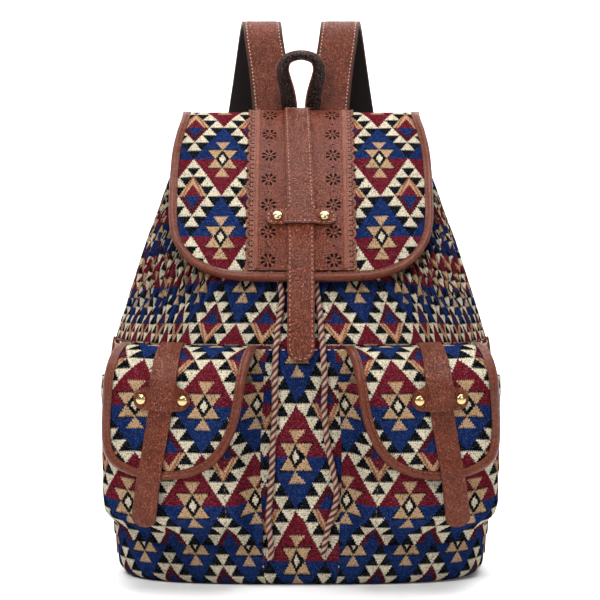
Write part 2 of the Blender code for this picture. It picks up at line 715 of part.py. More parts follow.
def build_mouth():
    """Channel round the mouth, its eyelets, the drawcord inside it and the tails down the front."""
    wall = CHANNEL_WALL
    size = CHANNEL_SIZE
    lip = (size - CHANNEL_SLIT) / 2
    profile = ((size, lip), (size, 0), (0, 0), (0, size), (size, size), (size, size - lip),
               (size - wall, size - lip), (size - wall, size - wall), (wall, size - wall), (wall, wall),
               (size - wall, wall), (size - wall, lip))
    sections = []
    round_mouth = spread_angles(-90, 270, MOUTH_COLUMNS + 1, CHANNEL_Z)[:-1]
    for angle in round_mouth:
        sections.append([channel_point(angle, inset, CHANNEL_Z + height) for inset, height in profile])
    channel = swept_solid("mouth_channel", sections, "woven_fabric", closed=True)

    for side, name in ((-1, "left"), (1, "right")):
        along = side * EYELET_X
        face = Vector((along, body_point(-90, CORD_Z).y, CORD_Z))
        turned_cutter("eyelet_cutter_" + name, face, wall * 1.6, channel)
        profile = ((EYELET_BORE / 2, -wall), (EYELET_BARREL / 2, -wall), (EYELET_BARREL / 2, GAP),
                   (EYELET_FLANGE / 2, GAP), (EYELET_FLANGE / 2 - 0.4 * MM, GAP + EYELET_THICKNESS),
                   (EYELET_BORE / 2, GAP + EYELET_THICKNESS))
        turned_solid("eyelet_" + name, profile, face, Vector((0, -1, 0)), "gold_metal", sides=12)

    ring = [channel_point(angle, size / 2, CORD_Z) for angle in round_mouth]
    behind = through(WIDEST_Y, CORD_Z)
    held = [point for point in ring[1:] if point.y > behind or abs(point.x) > EYELET_X + CORD_DIAMETER]
    before, after = ring[ring.index(held[0]) - 1], ring[(ring.index(held[-1]) + 1) % len(ring)]
    loop = [held[0].lerp(before, 0.6), *held, held[-1].lerp(after, 0.6)]
    add_cord("drawcord_in_channel", loop)

    for name, route in TAIL_ROUTES.items():
        points = []
        for x, z in spaced_path(np.array(route) * MM, TAIL_SPACING):
            points.append(front_surface(x, z, CORD_DIAMETER / 2 + GAP))
        add_cord("drawcord_tail_" + name, points)


def front_surface(x, z, lift):
    """Point in front of the body's middle at x and z, lifted square off its face."""
    def face(height):
        share = min(abs(x) / through(HALF_WIDTH, height), 1.0)
        power = through(FRONT_SQUARENESS, height) / MM
        middle = through(WIDEST_Y, height)
        return middle - (middle - through(FRONT_Y, height)) * (1 - share**power)**(1 / power)
    step = 2 * MM
    lean = (face(z + step) - face(z - step)) / (2 * step)
    normal = Vector((0, -1, lean)).normalized()
    return Vector((x, face(z), z)) + normal * lift


def turned_cutter(name, face, depth, target):
    """Hole through the channel's outer wall for an eyelet."""
    cutter = turned_solid(name, ((0, -depth), (EYELET_BARREL / 2 + GAP, -depth),
                                 (EYELET_BARREL / 2 + GAP, depth), (0, depth)),
                          face, Vector((0, -1, 0)), "gold_metal", sides=16)
    cutter.hide_render = True
    cutter.display_type = "WIRE"
    cut = target.modifiers.new("eyelet_hole", "BOOLEAN")
    cut.operation = "DIFFERENCE"
    cut.solver = "EXACT"
    cut.object = cutter


def add_cord(name, points):
    """Round cord along points, as a curve object."""
    curve = bpy.data.curves.new(name, "CURVE")
    curve.dimensions = "3D"
    curve.bevel_depth = CORD_DIAMETER / 2
    curve.bevel_resolution = 2
    curve.use_fill_caps = True
    spline = curve.splines.new("POLY")
    spline.points.add(len(points) - 1)
    for target, point in zip(spline.points, points):
        target.co = (*point, 1)
    curve.materials.append(make_material("twisted_cord"))
    cord = bpy.data.objects.new(name, curve)
    bpy.context.scene.collection.objects.link(cord)
    return cord


def add_rivet(name, surface, u, v, outer, inner):
    """Dome rivet through a stack of sheets, from its outer lift to its inner lift."""
    seat = lifted(surface, u, v, outer)
    axis = (lifted(surface, u, v, outer + MM) - seat).normalized()
    under = inner - outer - GAP
    profile = ((0, GAP + RIVET_DOME), (RIVET_HEAD * 0.28, GAP + RIVET_DOME * 0.86),
               (RIVET_HEAD * 0.45, GAP + RIVET_DOME * 0.42), (RIVET_HEAD / 2, GAP), (RIVET_SHANK / 2, GAP),
               (RIVET_SHANK / 2, under), (RIVET_CAP / 2, under), (RIVET_CAP / 2, under - RIVET_CAP_THICKNESS),
               (0, under - RIVET_CAP_THICKNESS))
    turned_solid(name, profile, seat, axis, "gold_metal", FASTENER_SIDES)


def add_stud(name, seat, strap):
    """Press stud between its carrier and a strap: a socket on the carrier and a stud on the strap."""
    axis = strap - seat
    room = axis.length - 3 * GAP
    half = (room - STUD_SEAT) / 2
    turned_solid(name + "_socket", ((STUD_SOCKET / 2, GAP), (STUD_DIAMETER / 2, GAP),
                                    (STUD_DIAMETER / 2, GAP + half), (STUD_SOCKET / 2, GAP + half)),
                 seat, axis, "gold_metal", FASTENER_SIDES)
    face = STUD_SEAT + GAP
    turned_solid(name + "_post", ((0, face), (STUD_DIAMETER / 2, face), (STUD_DIAMETER / 2, face + half),
                                  (STUD_POST / 2, face + half), (STUD_POST / 2, room - GAP), (0, room - GAP)),
                 strap, -axis, "gold_metal", FASTENER_SIDES)


def tee_outline(top, top_centre, tee, centre, width, tee_width, tee_height):
    """Flat outline of a strap that widens into a cross tab, with rounded tab ends."""
    half, arm, rise = width / 2, tee_width / 2, tee_height / 2
    fillet = TEE_FILLET
    corner = rise * 0.75
    side = [(half, -rise - fillet), (half + fillet * 0.3, -rise - fillet * 0.3), (half + fillet, -rise),
            (arm - corner, -rise), (arm - corner * 0.3, -rise + corner * 0.3), (arm, -rise + corner),
            (arm, rise - corner), (arm - corner * 0.3, rise - corner * 0.3), (arm - corner, rise)]
    right = [(top_centre + half, top)] + [(centre + u, tee + v) for u, v in side]
    left = [(centre - u, tee + v) for u, v in reversed(side)] + [(top_centre - half, top)]
    return right + left


def tongue_outline(start, start_centre, end, end_centre, width):
    """Flat outline of a strap with a rounded tip."""
    half = width / 2
    tip = [(end_centre + half * math.cos(t), end - half + half * math.sin(t))
           for t in np.linspace(0, math.pi, 9)]
    return [(start_centre + half, start)] + tip + [(start_centre - half, start)]


def build_flap():
    """Main flap: fabric, folded binding, cut leather panel, and its strap with rivets and stud."""
    bends, across = FLAP_BENDS, FLAP_CREASES
    right = spaced_path(np.array(FLAP_EDGE) * MM, FLAP_EDGE_SPACING, bends)
    edge = np.concatenate([right, right[-2::-1] * (-1, 1)])
    sheet = inward_offset(edge, BINDING + GAP)
    sheet[[0, -1], 1] = 0
    rivets = [side * FLAP_RIVET_SPREAD for side in (-1, 1)]
    holes = [circle(u, FLAP_TEE_AT, RIVET_HOLE) for u in rivets]
    laid_plate("flap_fabric", flap_point, sheet, constant(-FABRIC), constant(0), "woven_fabric",
               holes, across, bends)
    laid_binding("flap_binding", flap_point, edge[edge[:, 1] > FLAP_BINDING_START])

    end = FLAP_EDGE[-1][1] * MM - BINDING_WIDTH - 4 * GAP
    scallops = round(end / SCALLOP_PITCH)
    rim = []
    for index in range(scallops):
        for share, depth in ((0, 1.0), (0.3, 0.1), (0.7, 0.1)):
            rim.append((LACE_HALF_WIDTH - SCALLOP_DEPTH * depth, (index + share) * end / scallops))
    rim.append((LACE_HALF_WIDTH - SCALLOP_DEPTH, end))
    outline = rim + [(-u, v) for u, v in reversed(rim)]
    petals = []
    for column in (-1, 1):
        for index in range(FLOWER_COUNT):
            centre = (column * FLOWER_X, FLOWER_START + index * FLOWER_PITCH)
            if abs(centre[1] - FLAP_TEE_AT) < (FLAP_TEE_HEIGHT + RIVET_HOLE) / 2:
                continue
            petals += [petal_hole(centre, petal) for petal in range(PETALS)]
    laid_plate("flap_lace_panel", flap_point, outline, constant(GAP), constant(GAP + LEATHER),
               "brown_leather", holes + petals, across[4:6], bends)

    base = 2 * GAP + LEATHER
    over = base + STRAP + GAP
    tongue_start = FLAP_TEE_AT - FLAP_TONGUE_LAP
    beside_tongue = FLAP_STRAP_WIDTH / 2 + FLAP_TAB_CLEARANCE

    def tee_lift(u, v):
        beside = 1 - ease((abs(u) - beside_tongue) / FLAP_TAB_STEP)
        return base + (over - base) * beside * ease((v - tongue_start + CLIMB_LEAD) / STRAP_CLIMB)

    outline = tee_outline(FLAP_STRAP_TOP, FLAP_STRAP_LEAN, FLAP_TEE_AT, 0.0, FLAP_STRAP_WIDTH,
                          FLAP_TEE_WIDTH, FLAP_TEE_HEIGHT)
    steps = [side * (beside_tongue + step) for side in (-1, 1) for step in (0, FLAP_TAB_STEP)]
    climb = [tongue_start - CLIMB_LEAD + STRAP_CLIMB * share for share in (0, 0.5, 1)]
    tee_bends = [bend for bend in bends if bend < climb[0] - FLAP_TAB_STEP] + climb
    laid_plate("flap_strap_tee", flap_point, outline, tee_lift, lambda u, v: tee_lift(u, v) + STRAP,
               "brown_leather", holes, steps, tee_bends)
    outline = tongue_outline(tongue_start, 0.0, FLAP_TONGUE_END, 0.0, FLAP_STRAP_WIDTH)
    laid_plate("flap_strap_tongue", flap_point, outline, constant(base), constant(base + STRAP),
               "brown_leather", (), (), np.arange(tongue_start + TONGUE_ROW, FLAP_TONGUE_END, TONGUE_ROW))
    for u, name in zip(rivets, ("left", "right")):
        add_rivet("flap_rivet_" + name, flap_point, u, FLAP_TEE_AT, base + STRAP, -FABRIC)
    strap = lifted(flap_point, 0.0, FLAP_STUD_AT, base)
    add_stud("flap_stud", front_surface(0.0, strap.z, 0.0), strap)


def petal_hole(centre, index):
    """One petal of a flower cut-out, a slim wedge pointing at the flower's middle."""
    turn = 2 * math.pi * (index + 0.5) / PETALS
    along = np.array((math.cos(turn), math.sin(turn)))
    across = np.array((-along[1], along[0])) * PETAL_WIDTH / 2
    points = (along * PETAL_INNER, along * PETAL_OUTER + across, along * PETAL_OUTER - across)
    return [tuple(np.array(centre) + point) for point in points]


def build_pocket(side, name):
    """One front pocket: its gusseted shell, flap, binding, strap, rivets and stud."""
    ends = POCKET_INNER - POCKET_SEAM, SEAM_ALONG - PIPING_DIAMETER / 2 - 2 * GAP
    gusset = np.linspace(ends[0], POCKET_INNER + GUSSET_WIDTH, 6)
    columns = [np.interp(angle, *BODY_ROUND) for angle in front_columns() if angle > -90]
    along = [*gusset, *(column for column in columns if gusset[-1] + 5 * MM < column < ends[1]), ends[1]]
    rows = [POCKET_BOTTOM_Z - POCKET_HEM]
    rows += [POCKET_BOTTOM_Z + POCKET_RISE * k for k in (0.1, 0.36, 0.68, 1)]
    rows += [z for z in FRONT_ROWS if rows[-1] < z < POCKET_MOUTH_Z] + [POCKET_MOUTH_Z]
    outer = [[front_point(side * s, z, max(pocket_lift(s, z), FABRIC) + GAP) for s in along] for z in rows]
    inner = [[front_point(side * s, z, max(pocket_lift(s, z) - FABRIC, 0.0) + GAP) for s in along]
             for z in rows]
    sheet_solid("pocket_" + name, outer, inner, "woven_fabric")

    bends, across = POCKET_FLAP_BENDS, POCKET_FLAP_CREASES
    edge = spaced_path(np.array(POCKET_FLAP_EDGE[::-1]) * MM, POCKET_EDGE_SPACING, bends)
    sheet = inward_offset(edge, BINDING + GAP)
    rivets = [POCKET_STRAP_ALONG + k * POCKET_RIVET_SPREAD for k in (-1, 1)]
    holes = [circle(u, POCKET_TEE_AT, RIVET_HOLE) for u in rivets]
    laid_plate("pocket_flap_" + name, pocket_flap_point, sheet, constant(-FABRIC), constant(0),
               "woven_fabric", holes, across, bends, side)
    laid_binding("pocket_flap_binding_" + name, pocket_flap_point,
                 edge[edge[:, 1] > POCKET_BINDING_START], side)

    tongue_start = POCKET_TEE_AT - POCKET_TONGUE_LAP
    lean = (POCKET_TONGUE_END_ALONG - POCKET_STRAP_ALONG) / (POCKET_TONGUE_END - POCKET_TEE_AT)
    hem = max(v for _, v in POCKET_FLAP_EDGE) * MM - BINDING_WIDTH
    base = 2 * GAP

    def tongue_lift(u, v):
        return base + (BINDING_SLACK + BINDING) * ease((v - hem + STRAP_CLIMB + MM) / STRAP_CLIMB)

    def tee_lift(u, v):
        beside = 1 - ease((abs(u - POCKET_STRAP_ALONG) - POCKET_STRAP_WIDTH / 2 - GAP) / POCKET_TAB_STEP)
        climb = ease((v - tongue_start + CLIMB_LEAD) / STRAP_CLIMB)
        return base + (STRAP + base + 2 * GAP) * beside * climb

    outline = tee_outline(POCKET_EDGE_TOP, POCKET_STRAP_TOP_ALONG, POCKET_TEE_AT, POCKET_STRAP_ALONG,
                          POCKET_STRAP_WIDTH, POCKET_TEE_WIDTH, POCKET_TEE_HEIGHT)
    steps = [POCKET_STRAP_ALONG + k * (POCKET_STRAP_WIDTH / 2 + step) for k in (-1, 1)
             for step in (GAP, GAP + POCKET_TAB_STEP)]
    laid_plate("pocket_strap_tee_" + name, pocket_flap_point, outline, tee_lift,
               lambda u, v: tee_lift(u, v) + STRAP, "brown_leather", holes, steps + across, bends, side)
    outline = tongue_outline(tongue_start, POCKET_STRAP_ALONG + lean * (tongue_start - POCKET_TEE_AT),
                             POCKET_TONGUE_END, POCKET_TONGUE_END_ALONG, POCKET_TONGUE_WIDTH)
    laid_plate("pocket_strap_tongue_" + name, pocket_flap_point, outline, tongue_lift,
               lambda u, v: tongue_lift(u, v) + STRAP, "brown_leather", (), across,
               [*bends[4:], hem - STRAP_CLIMB * 0.6, hem - MM, hem + 2 * CLIMB_LEAD], side)
    for u, place in zip(rivets, ("inner", "outer")):
        add_rivet("pocket_rivet_" + place + "_" + name, pocket_flap_point, side * u, POCKET_TEE_AT,
                  base + STRAP, -FABRIC)
    strap_along = POCKET_STRAP_ALONG + lean * (POCKET_STUD_AT - POCKET_TEE_AT)
    strap = lifted(pocket_flap_point, side * strap_along, POCKET_STUD_AT, tongue_lift(0, POCKET_STUD_AT))
    seat = front_point(side * strap_along, strap.z, pocket_lift(strap_along, strap.z) + GAP)
    add_stud("pocket_stud_" + name, seat, strap)


def mirrored(points, side):
    """Left-hand points in metres, turned to the side asked for."""
    return np.array(points, float) * MM * (-side, 1, 1)


def build_straps(side, name):
    """One shoulder strap: leather, lining, webbing, adjuster and the tab at the bottom corner."""
    line = spaced_path(mirrored(SHOULDER_LINE, side), STRAP_SPACING)
    last = len(line) - 1

    def swell(index):
        return ease(index / 4) * ease((last - index) / 3 + 0.3)

    def leather(index):
        return -GAP / 2 - SHOULDER_END - (SHOULDER_LEATHER - SHOULDER_END) * swell(index), -GAP / 2

    def lining(index):
        return GAP / 2, GAP / 2 + SHOULDER_END + (SHOULDER_LINING - SHOULDER_END) * swell(index)

    def width(index):
        return SHOULDER_WIDTH - SHOULDER_TAPER * ease((index - last + 4) / 4)

    lie = (1, 0, 0)
    swept_solid("shoulder_strap_" + name, strip_sections(line, width, leather, lie), "brown_leather")
    swept_solid("shoulder_strap_lining_" + name, strip_sections(line, width, lining, lie), "dark_lining")

    top, foot = mirrored((WEBBING_TOP, WEBBING_FOOT), side)
    run = Vector(foot - top)
    normal = run.normalized().cross(Vector((1, 0, 0))).normalized() * -1
    if normal.y < 0:
        normal.negate()
    centre = Vector(top) + run * ADJUSTER_AT
    down = run.normalized()
    weave = ADJUSTER_LENGTH / 2 - ADJUSTER_BAR / 2
    line = [Vector(top), Vector(top) + down * (ADJUSTER_AT * run.length - ADJUSTER_LENGTH)]
    for place, lift in ((-1, -1), (-0.5, 0), (0, 1), (0.5, 0), (1, -1)):
        line.append(centre + down * place * weave + normal * lift * ADJUSTER_WEAVE)
    line += [centre + down * ADJUSTER_LENGTH, Vector(foot) - down * WEBBING_SEWN, Vector(foot)]
    path = smooth_path(np.array(line), 3)
    half = WEBBING_THICKNESS / 2
    across = normal.cross(down).normalized() * (WEBBING_WIDTH / 2)
    sections = []
    for point, run in zip(path, np.gradient(path, axis=0)):
        off = across.cross(Vector(run)).normalized() * half
        sections.append([Vector(point) + across * u + off * v
                         for u, v in ((-1, -1), (1, -1), (1, 1), (-1, 1))])
    swept_solid("strap_webbing_" + name, sections, "black_webbing")

    across = normal.cross(down).normalized()
    inner = WEBBING_WIDTH / 2 + ADJUSTER_PLAY
    outer = inner + ADJUSTER_RAIL
    window = (ADJUSTER_LENGTH - 3 * ADJUSTER_BAR) / 2
    holes = []
    for place in (-1, 1):
        near = ADJUSTER_BAR / 2
        span = sorted((place * near, place * (near + window)))
        holes.append([(-inner, span[0]), (inner, span[0]), (inner, span[1]), (-inner, span[1])])
    end = ADJUSTER_LENGTH / 2
    outline = [(-outer, -end), (outer, -end), (outer, end), (-outer, end)]
    half = normal * ADJUSTER_THICKNESS / 2

    def lay(u, v):
        point = centre + across * u + down * v
        return point - half, point + half

    plate_solid("strap_adjuster_" + name, flat_plate(outline, holes, (), ()), lay, "gold_metal")

    x, z = abs(WEBBING_FOOT[0]) * MM, WEBBING_FOOT[2] * MM
    outline = [(x - TAB_SIDE * 0.75, z + TAB_SIDE * 0.45), (x - TAB_SIDE * 0.2, z - TAB_SIDE * 0.45),
               (x + TAB_SIDE * 0.3, z - TAB_SIDE * 0.45), (x + TAB_SIDE * 0.3, z + TAB_SIDE * 0.2)]
    laid_plate("corner_tab_" + name, back_point, outline, constant(GAP), constant(GAP + LEATHER),
               "brown_leather", (), [x - TAB_SIDE * 0.2, x, x + TAB_SIDE * 0.15], (), side)


def build_carrying():
    """Patch across the top of the back panel and the handle sewn on it."""
    half = ANCHOR_HALF_WIDTH
    outline = [(-half, ANCHOR_TOP_Z), (-half, ANCHOR_BOTTOM_Z), (half, ANCHOR_BOTTOM_Z), (half, ANCHOR_TOP_Z)]
    laid_plate("strap_anchor_patch", back_point, outline, constant(GAP), constant(GAP + LEATHER),
               "brown_leather", (), [half * k for k in (-0.5, 0, 0.5)])
    right = np.array(HANDLE_LINE) * MM
    line = spaced_path(np.concatenate([right * (-1, 1, 1), right[-2::-1]]), HANDLE_SPACING)
    sections = []
    runs = np.gradient(line, axis=0)
    for point, run in zip(line, runs):
        run = Vector(run).normalized()
        back = Vector((0, 1, 0))
        back = (back - run * back.dot(run)).normalized()
        across = back.cross(run).normalized()
        a, n = through(HANDLE_WIDTHS, point[2]) / 2, through(HANDLE_DEPTHS, point[2]) / 2
        corners = [(a * math.cos(t), n * math.sin(t)) for t in np.arange(8) * math.pi / 4]
        sections.append([Vector(point) + across * u + back * v for u, v in corners])
    swept_solid("carry_handle", sections, "dark_leather", round_piece=True)


for existing in list(bpy.data.objects):
    bpy.data.objects.remove(existing, do_unlink=True)

build_body()
build_mouth()
build_flap()
for side, name in ((-1, "left"), (1, "right")):
    build_pocket(side, name)
    build_straps(side, name)
build_carrying()
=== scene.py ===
"""A drawstring backpack in woven fabric with leather trim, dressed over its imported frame.

Lengths are in metres. The bag stands at z = 0 and its front faces -Y. Soft panels are grids laid
on the body's surface, flaps and straps are drawn flat and laid on theirs, and every weave is
placed by its own flat coordinates, counted in triangles of the pattern.
"""
import functools
import math

import bmesh
import bpy
import numpy as np
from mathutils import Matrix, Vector, noise


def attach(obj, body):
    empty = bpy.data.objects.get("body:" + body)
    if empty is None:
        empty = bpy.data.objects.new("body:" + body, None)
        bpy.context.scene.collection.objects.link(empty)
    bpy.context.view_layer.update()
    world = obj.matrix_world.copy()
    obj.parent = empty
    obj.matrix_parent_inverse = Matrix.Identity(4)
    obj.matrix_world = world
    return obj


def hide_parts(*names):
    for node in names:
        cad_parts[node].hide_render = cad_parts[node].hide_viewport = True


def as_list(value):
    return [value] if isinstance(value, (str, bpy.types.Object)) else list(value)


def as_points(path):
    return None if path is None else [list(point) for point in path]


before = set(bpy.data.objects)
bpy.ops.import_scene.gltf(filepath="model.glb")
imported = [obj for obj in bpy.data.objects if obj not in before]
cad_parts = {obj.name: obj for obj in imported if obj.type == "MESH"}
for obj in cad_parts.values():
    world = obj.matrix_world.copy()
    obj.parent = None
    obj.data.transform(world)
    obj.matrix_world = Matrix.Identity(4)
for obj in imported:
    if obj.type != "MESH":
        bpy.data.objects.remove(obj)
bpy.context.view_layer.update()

MM = 0.001
GAP = 0.3 * MM
FABRIC = 2.0 * MM
LEATHER = 1.5 * MM
STRAP = 1.8 * MM
BINDING = 1.0 * MM
BINDING_SLACK = 0.8 * MM
BINDING_WIDTH = 7 * MM

# Outer face of the body, as (height, value) pairs in millimetres.
HALF_WIDTH = ((0, 146), (60, 148.5), (120, 149), (189, 147.5), (215, 140), (243, 131.5), (267, 124),
              (283, 118), (307, 110), (325, 103.5), (359, 97))
FRONT_Y = ((0, -65), (60, -71), (120, -73), (188, -68.5), (215, -53), (243, -38), (270, -21.5),
           (300, 1), (322, 20), (359, 45))
BACK_Y = ((0, 73), (100, 75), (359, 75))
WIDEST_Y = ((0, 0), (188, 0), (243, 12), (300, 33), (322, 42), (359, 50))
FRONT_SQUARENESS = ((0, 3.2), (120, 3.4), (188, 3.0), (243, 2.6), (322, 2.4), (359, 2.4))
BACK_SQUARENESS = 5.0
BASE_RADIUS = 12 * MM
WAIST_Z = 189 * MM
CHANNEL_Z = 312 * MM
BACK_TOP_Z = 359 * MM
BACK_PAD = 4 * MM
PIPING_RADIUS = 1.2 * MM

# Folds of the gathered panel.
FOLD_COUNT = 25
FOLD_DEPTH = 6.5 * MM
SMALL_FOLD_DEPTH = 2.0 * MM

# Drawcord, its channel and its eyelets; the tails' points are (x, z).
CORD_DIAMETER = 5 * MM
CORD_TWIST = 12 * MM
CHANNEL_SIZE = 11 * MM
CHANNEL_WALL = 2.1 * MM
CORD_Z = CHANNEL_Z + CHANNEL_SIZE / 2
EYELET_X = 15 * MM
TAIL_ROUTES = {
    "left": ((-15, 309), (-12.5, 296), (-12, 280), (-13.5, 262), (-16.5, 240), (-14.6, 222), (-18.5, 195),
             (-20, 163), (-20, 140), (-21.5, 117), (-22.3, 94), (-23.8, 71), (-25.2, 55), (-23.5, 40),
             (-23, 24)),
    "right": ((15, 309), (12.5, 296), (12, 280), (12, 262), (11, 240), (13, 224), (15.3, 201), (17.2, 180),
              (18.3, 160), (17.6, 146), (19.1, 124), (21.4, 109), (24.5, 94), (27, 80), (27.2, 70),
              (25, 61), (21.8, 52), (19.5, 42), (17, 26)),
}

# Main flap: the path down its middle as (y, z), and the right half of its edge as (x, down).
FLAP_PATH = ((74.5, 359.6), (73.5, 363.5), (69, 366.5), (62, 367), (55, 364), (47, 358), (36, 349),
             (15.5, 331.5), (-11.5, 300), (-33, 270), (-49, 243), (-62, 215), (-71, 190), (-76.5, 170),
             (-77.5, 150))
FLAP_WRAP = 19 * MM
FLAP_WRAP_AT = 108 * MM
FLAP_EDGE = ((97.5, 0), (97.8, 24), (101.5, 45), (104.5, 69), (105.6, 91), (105.6, 112), (105.2, 134),
             (103.6, 149), (100, 160.5), (94, 170.5), (86, 178.5), (75.5, 184.5), (62, 188.8), (47, 190.8),
             (24, 191.4), (0, 191.5))
LACE_HALF_WIDTH = 43.2 * MM
LACE_WELT_INSET = 8.4 * MM
SCALLOP_PITCH = 9.2 * MM
SCALLOP_DEPTH = 2.5 * MM
FLOWER_X = 25.5 * MM
FLOWER_START = 25.6 * MM
FLOWER_PITCH = 24.9 * MM
FLOWER_COUNT = 7
# Outline of one petal, in millimetres along and across it from the flower's centre, and the pin holes of
# one scallop, in millimetres in from its edge and down from its middle.
PETAL = ((1.9, 0.0), (3.4, 0.6), (4.8, 1.05), (5.7, 0.95), (6.2, 0.0), (5.7, -0.95), (4.8, -1.05),
         (3.4, -0.6))
LOBE_HOLES = ((2.4, 0), (3.2, 1.9), (3.2, -1.9), (5.0, 2.3), (5.0, -2.3))
PIN_HOLE = 1.5 * MM
RIVET_HOLE = 3.9 * MM
FLAP_STRAP_WIDTH = 21 * MM
FLAP_STRAP_TOP = 14 * MM
FLAP_STRAP_LEAN = -3.5 * MM
FLAP_TEE_AT = 137 * MM
FLAP_TEE_WIDTH = 55 * MM
FLAP_TEE_HEIGHT = 14.4 * MM
FLAP_TONGUE_END = 256.5 * MM
FLAP_STUD_AT = 250 * MM
FLAP_RIVET_SPREAD = 18.3 * MM

# Pockets and their flaps, by distance round the body from the middle of its front.
POCKET_INNER = 33 * MM
POCKET_BOTTOM_Z = 38 * MM
POCKET_MOUTH_Z = 162 * MM
POCKET_DEPTH = 27 * MM
POCKET_CLEARANCE = 5.6 * MM
POCKET_SPRING = 3.5 * MM
POCKET_FALL = 34 * MM
POCKET_FLAP_EDGE = ((40, 1), (43.5, 22), (44.8, 43), (45.3, 56), (47.4, 73), (51, 84.4), (55.2, 93.6),
                    (61.2, 102), (69.5, 108.8), (79.8, 113.6), (90, 115.8), (102, 116.5), (116, 114.5),
                    (126, 109.5), (132.4, 103.6), (136.4, 96.5), (138.6, 86), (139, 74), (138, 59),
                    (137.2, 48), (138, 34), (141, 16), (143, 1))
POCKET_STRAP_WIDTH = 16 * MM
POCKET_TONGUE_WIDTH = 14.6 * MM
POCKET_STRAP_ALONG = 98.5 * MM
POCKET_STRAP_TOP_ALONG = 104 * MM
POCKET_TEE_AT = 55 * MM
POCKET_TEE_WIDTH = 34.5 * MM
POCKET_TEE_HEIGHT = 16.5 * MM
POCKET_TONGUE_END = 152.5 * MM
POCKET_TONGUE_END_ALONG = 109.5 * MM
POCKET_RIVET_SPREAD = 12.7 * MM
POCKET_STUD_AT = 143 * MM
RIVET_HEAD = 7.8

# Shoulder straps, webbing and handle, as left-hand and right-half points.
SHOULDER_LINE = ((-23, 79.2, 314), (-23, 79.4, 338), (-23.4, 84.4, 356), (-24.7, 90, 376),
                 (-27.8, 96.4, 405), (-31.3, 102, 428), (-32.8, 109, 438.5), (-34.3, 118, 440),
                 (-36.5, 127, 432), (-39.8, 134, 412), (-44.7, 137, 380), (-52, 134, 335),
                 (-61.5, 126, 288), (-72, 116, 242), (-82, 106, 200))
SHOULDER_WIDTH = 32 * MM
SHOULDER_LEATHER = 3.4 * MM
SHOULDER_LINING = 2.6 * MM
SHOULDER_END = 1.4 * MM
WEBBING_WIDTH = 20 * MM
WEBBING_THICKNESS = 1.3 * MM
WEBBING_TOP = (-78.5, 104.5, 214)
WEBBING_FOOT = (-124, 77.6, 34)
ADJUSTER_AT = 0.27
ADJUSTER_LENGTH = 26 * MM
ADJUSTER_BAR = 3.6 * MM
ADJUSTER_RAIL = 3.2 * MM
ADJUSTER_THICKNESS = 1.8 * MM
ADJUSTER_WEAVE = 5.6 * MM
ANCHOR_HALF_WIDTH = 50 * MM
ANCHOR_BOTTOM_Z = 308 * MM
ANCHOR_TOP_Z = 346 * MM
TAB_SIDE = 34 * MM
HANDLE_LINE = ((3.4, 80.0, 314), (3.4, 80.0, 340), (3.6, 80.0, 353), (7, 79.2, 362), (10, 78.0, 371),
               (12, 75.4, 385), (14.8, 74, 397), (15.2, 74, 404), (11, 74, 411.5), (0, 74, 414.5))
HANDLE_WIDTHS = ((314, 5.8), (340, 5.8), (353, 5.8), (362, 10.5), (372, 14.5), (388, 13.5),
                 (402, 11.5), (415, 8.4))
HANDLE_DEPTHS = ((314, 5), (353, 5), (362, 5.6), (372, 8), (388, 11), (402, 13), (415, 13))

# Pattern on each piece, in millimetres: half width and row height of a triangle, and the place across
# and height of one figure. Heights on the pocket flaps count down from their seam.
FLAP_WEAVE = (11.6, 9.48, 62.9, 78.3)
UPPER_WEAVE = (12.4, 8.9, 0, 236)
FRONT_WEAVE = (12.1, 10.35, -3.5, 103.3)
BAND_WEAVE = (10.4, 8.9, 43.4, 34.4)
POCKET_WEAVE = (11.0, 9.3, 79.3, 70)
POCKET_FLAP_WEAVE = (11.0, 8.95, 71.7, -59.8)
THREADS_ACROSS, THREADS_DOWN = 18, 15

# Stitches: length, gap and radius of the thread, in millimetres.
LACE_STITCH = (2.0, 1.3, 0.22)
BINDING_STITCH = (2.6, 1.5, 0.3)
FLAP_STRAP_STITCH = (2.4, 1.5, 0.36)
POCKET_STITCH = (2.6, 1.6, 0.32)
SHOULDER_STITCH = (2.0, 1.1, 0.36)
TAB_STITCH = (2.6, 1.6, 0.34)
PATCH_STITCH = (2.8, 1.7, 0.36)
WAIST_STITCH = (2.8, 2.2, 0.4)
SIDES = ((-1, "left"), (1, "right"))

# Camera, and lights as (name, place, target, size, power).
EYE = (0, -1.4931, 0.3638)
EYE_DOWN_DEGREES = 5.5
LENS = 112.5
PICTURE = 600
BAG_MIDDLE = (0, 0, 0.22)
LIGHTS = (("key_light", (-0.7, -1.4, 1.4), BAG_MIDDLE, 0.4, 27),
          ("fill_light", (1.2, -1.5, 0.9), BAG_MIDDLE, 0.8, 7),
          ("top_light", (0.2, -0.5, 1.9), BAG_MIDDLE, 0.8, 20),
          ("backdrop_light", (0, 0.9, 1.5), (0, 1.5, 0), 2.0, 60))


# Surfaces that the pieces are laid on.

def joined(*parts):
    """Coordinates side by side, as points."""
    return np.stack(np.broadcast_arrays(*parts), -1)


def turns(count):
    """Angles once round a circle."""
    return np.arange(count) * 2 * math.pi / count


def curve(keys):
    """Smooth curve through (place, value) pairs in millimetres, as a function of a place in metres."""
    places, values = np.array(keys, float).T * MM
    slopes = np.gradient(values, places)
    fine = np.linspace(places[0], places[-1], 3001)
    index = np.clip(np.searchsorted(places, fine) - 1, 0, len(places) - 2)
    width = places[index + 1] - places[index]
    t = (fine - places[index]) / width
    smooth = (values[index] * (2 * t**3 - 3 * t**2 + 1) + slopes[index] * width * (t**3 - 2 * t**2 + t)
              + values[index + 1] * (3 * t**2 - 2 * t**3) + slopes[index + 1] * width * (t**3 - t**2))
    return lambda at: np.interp(at, fine, smooth)


half_width, front_y, back_y, widest_y, front_squareness = map(
    curve, (HALF_WIDTH, FRONT_Y, BACK_Y, WIDEST_Y, FRONT_SQUARENESS))


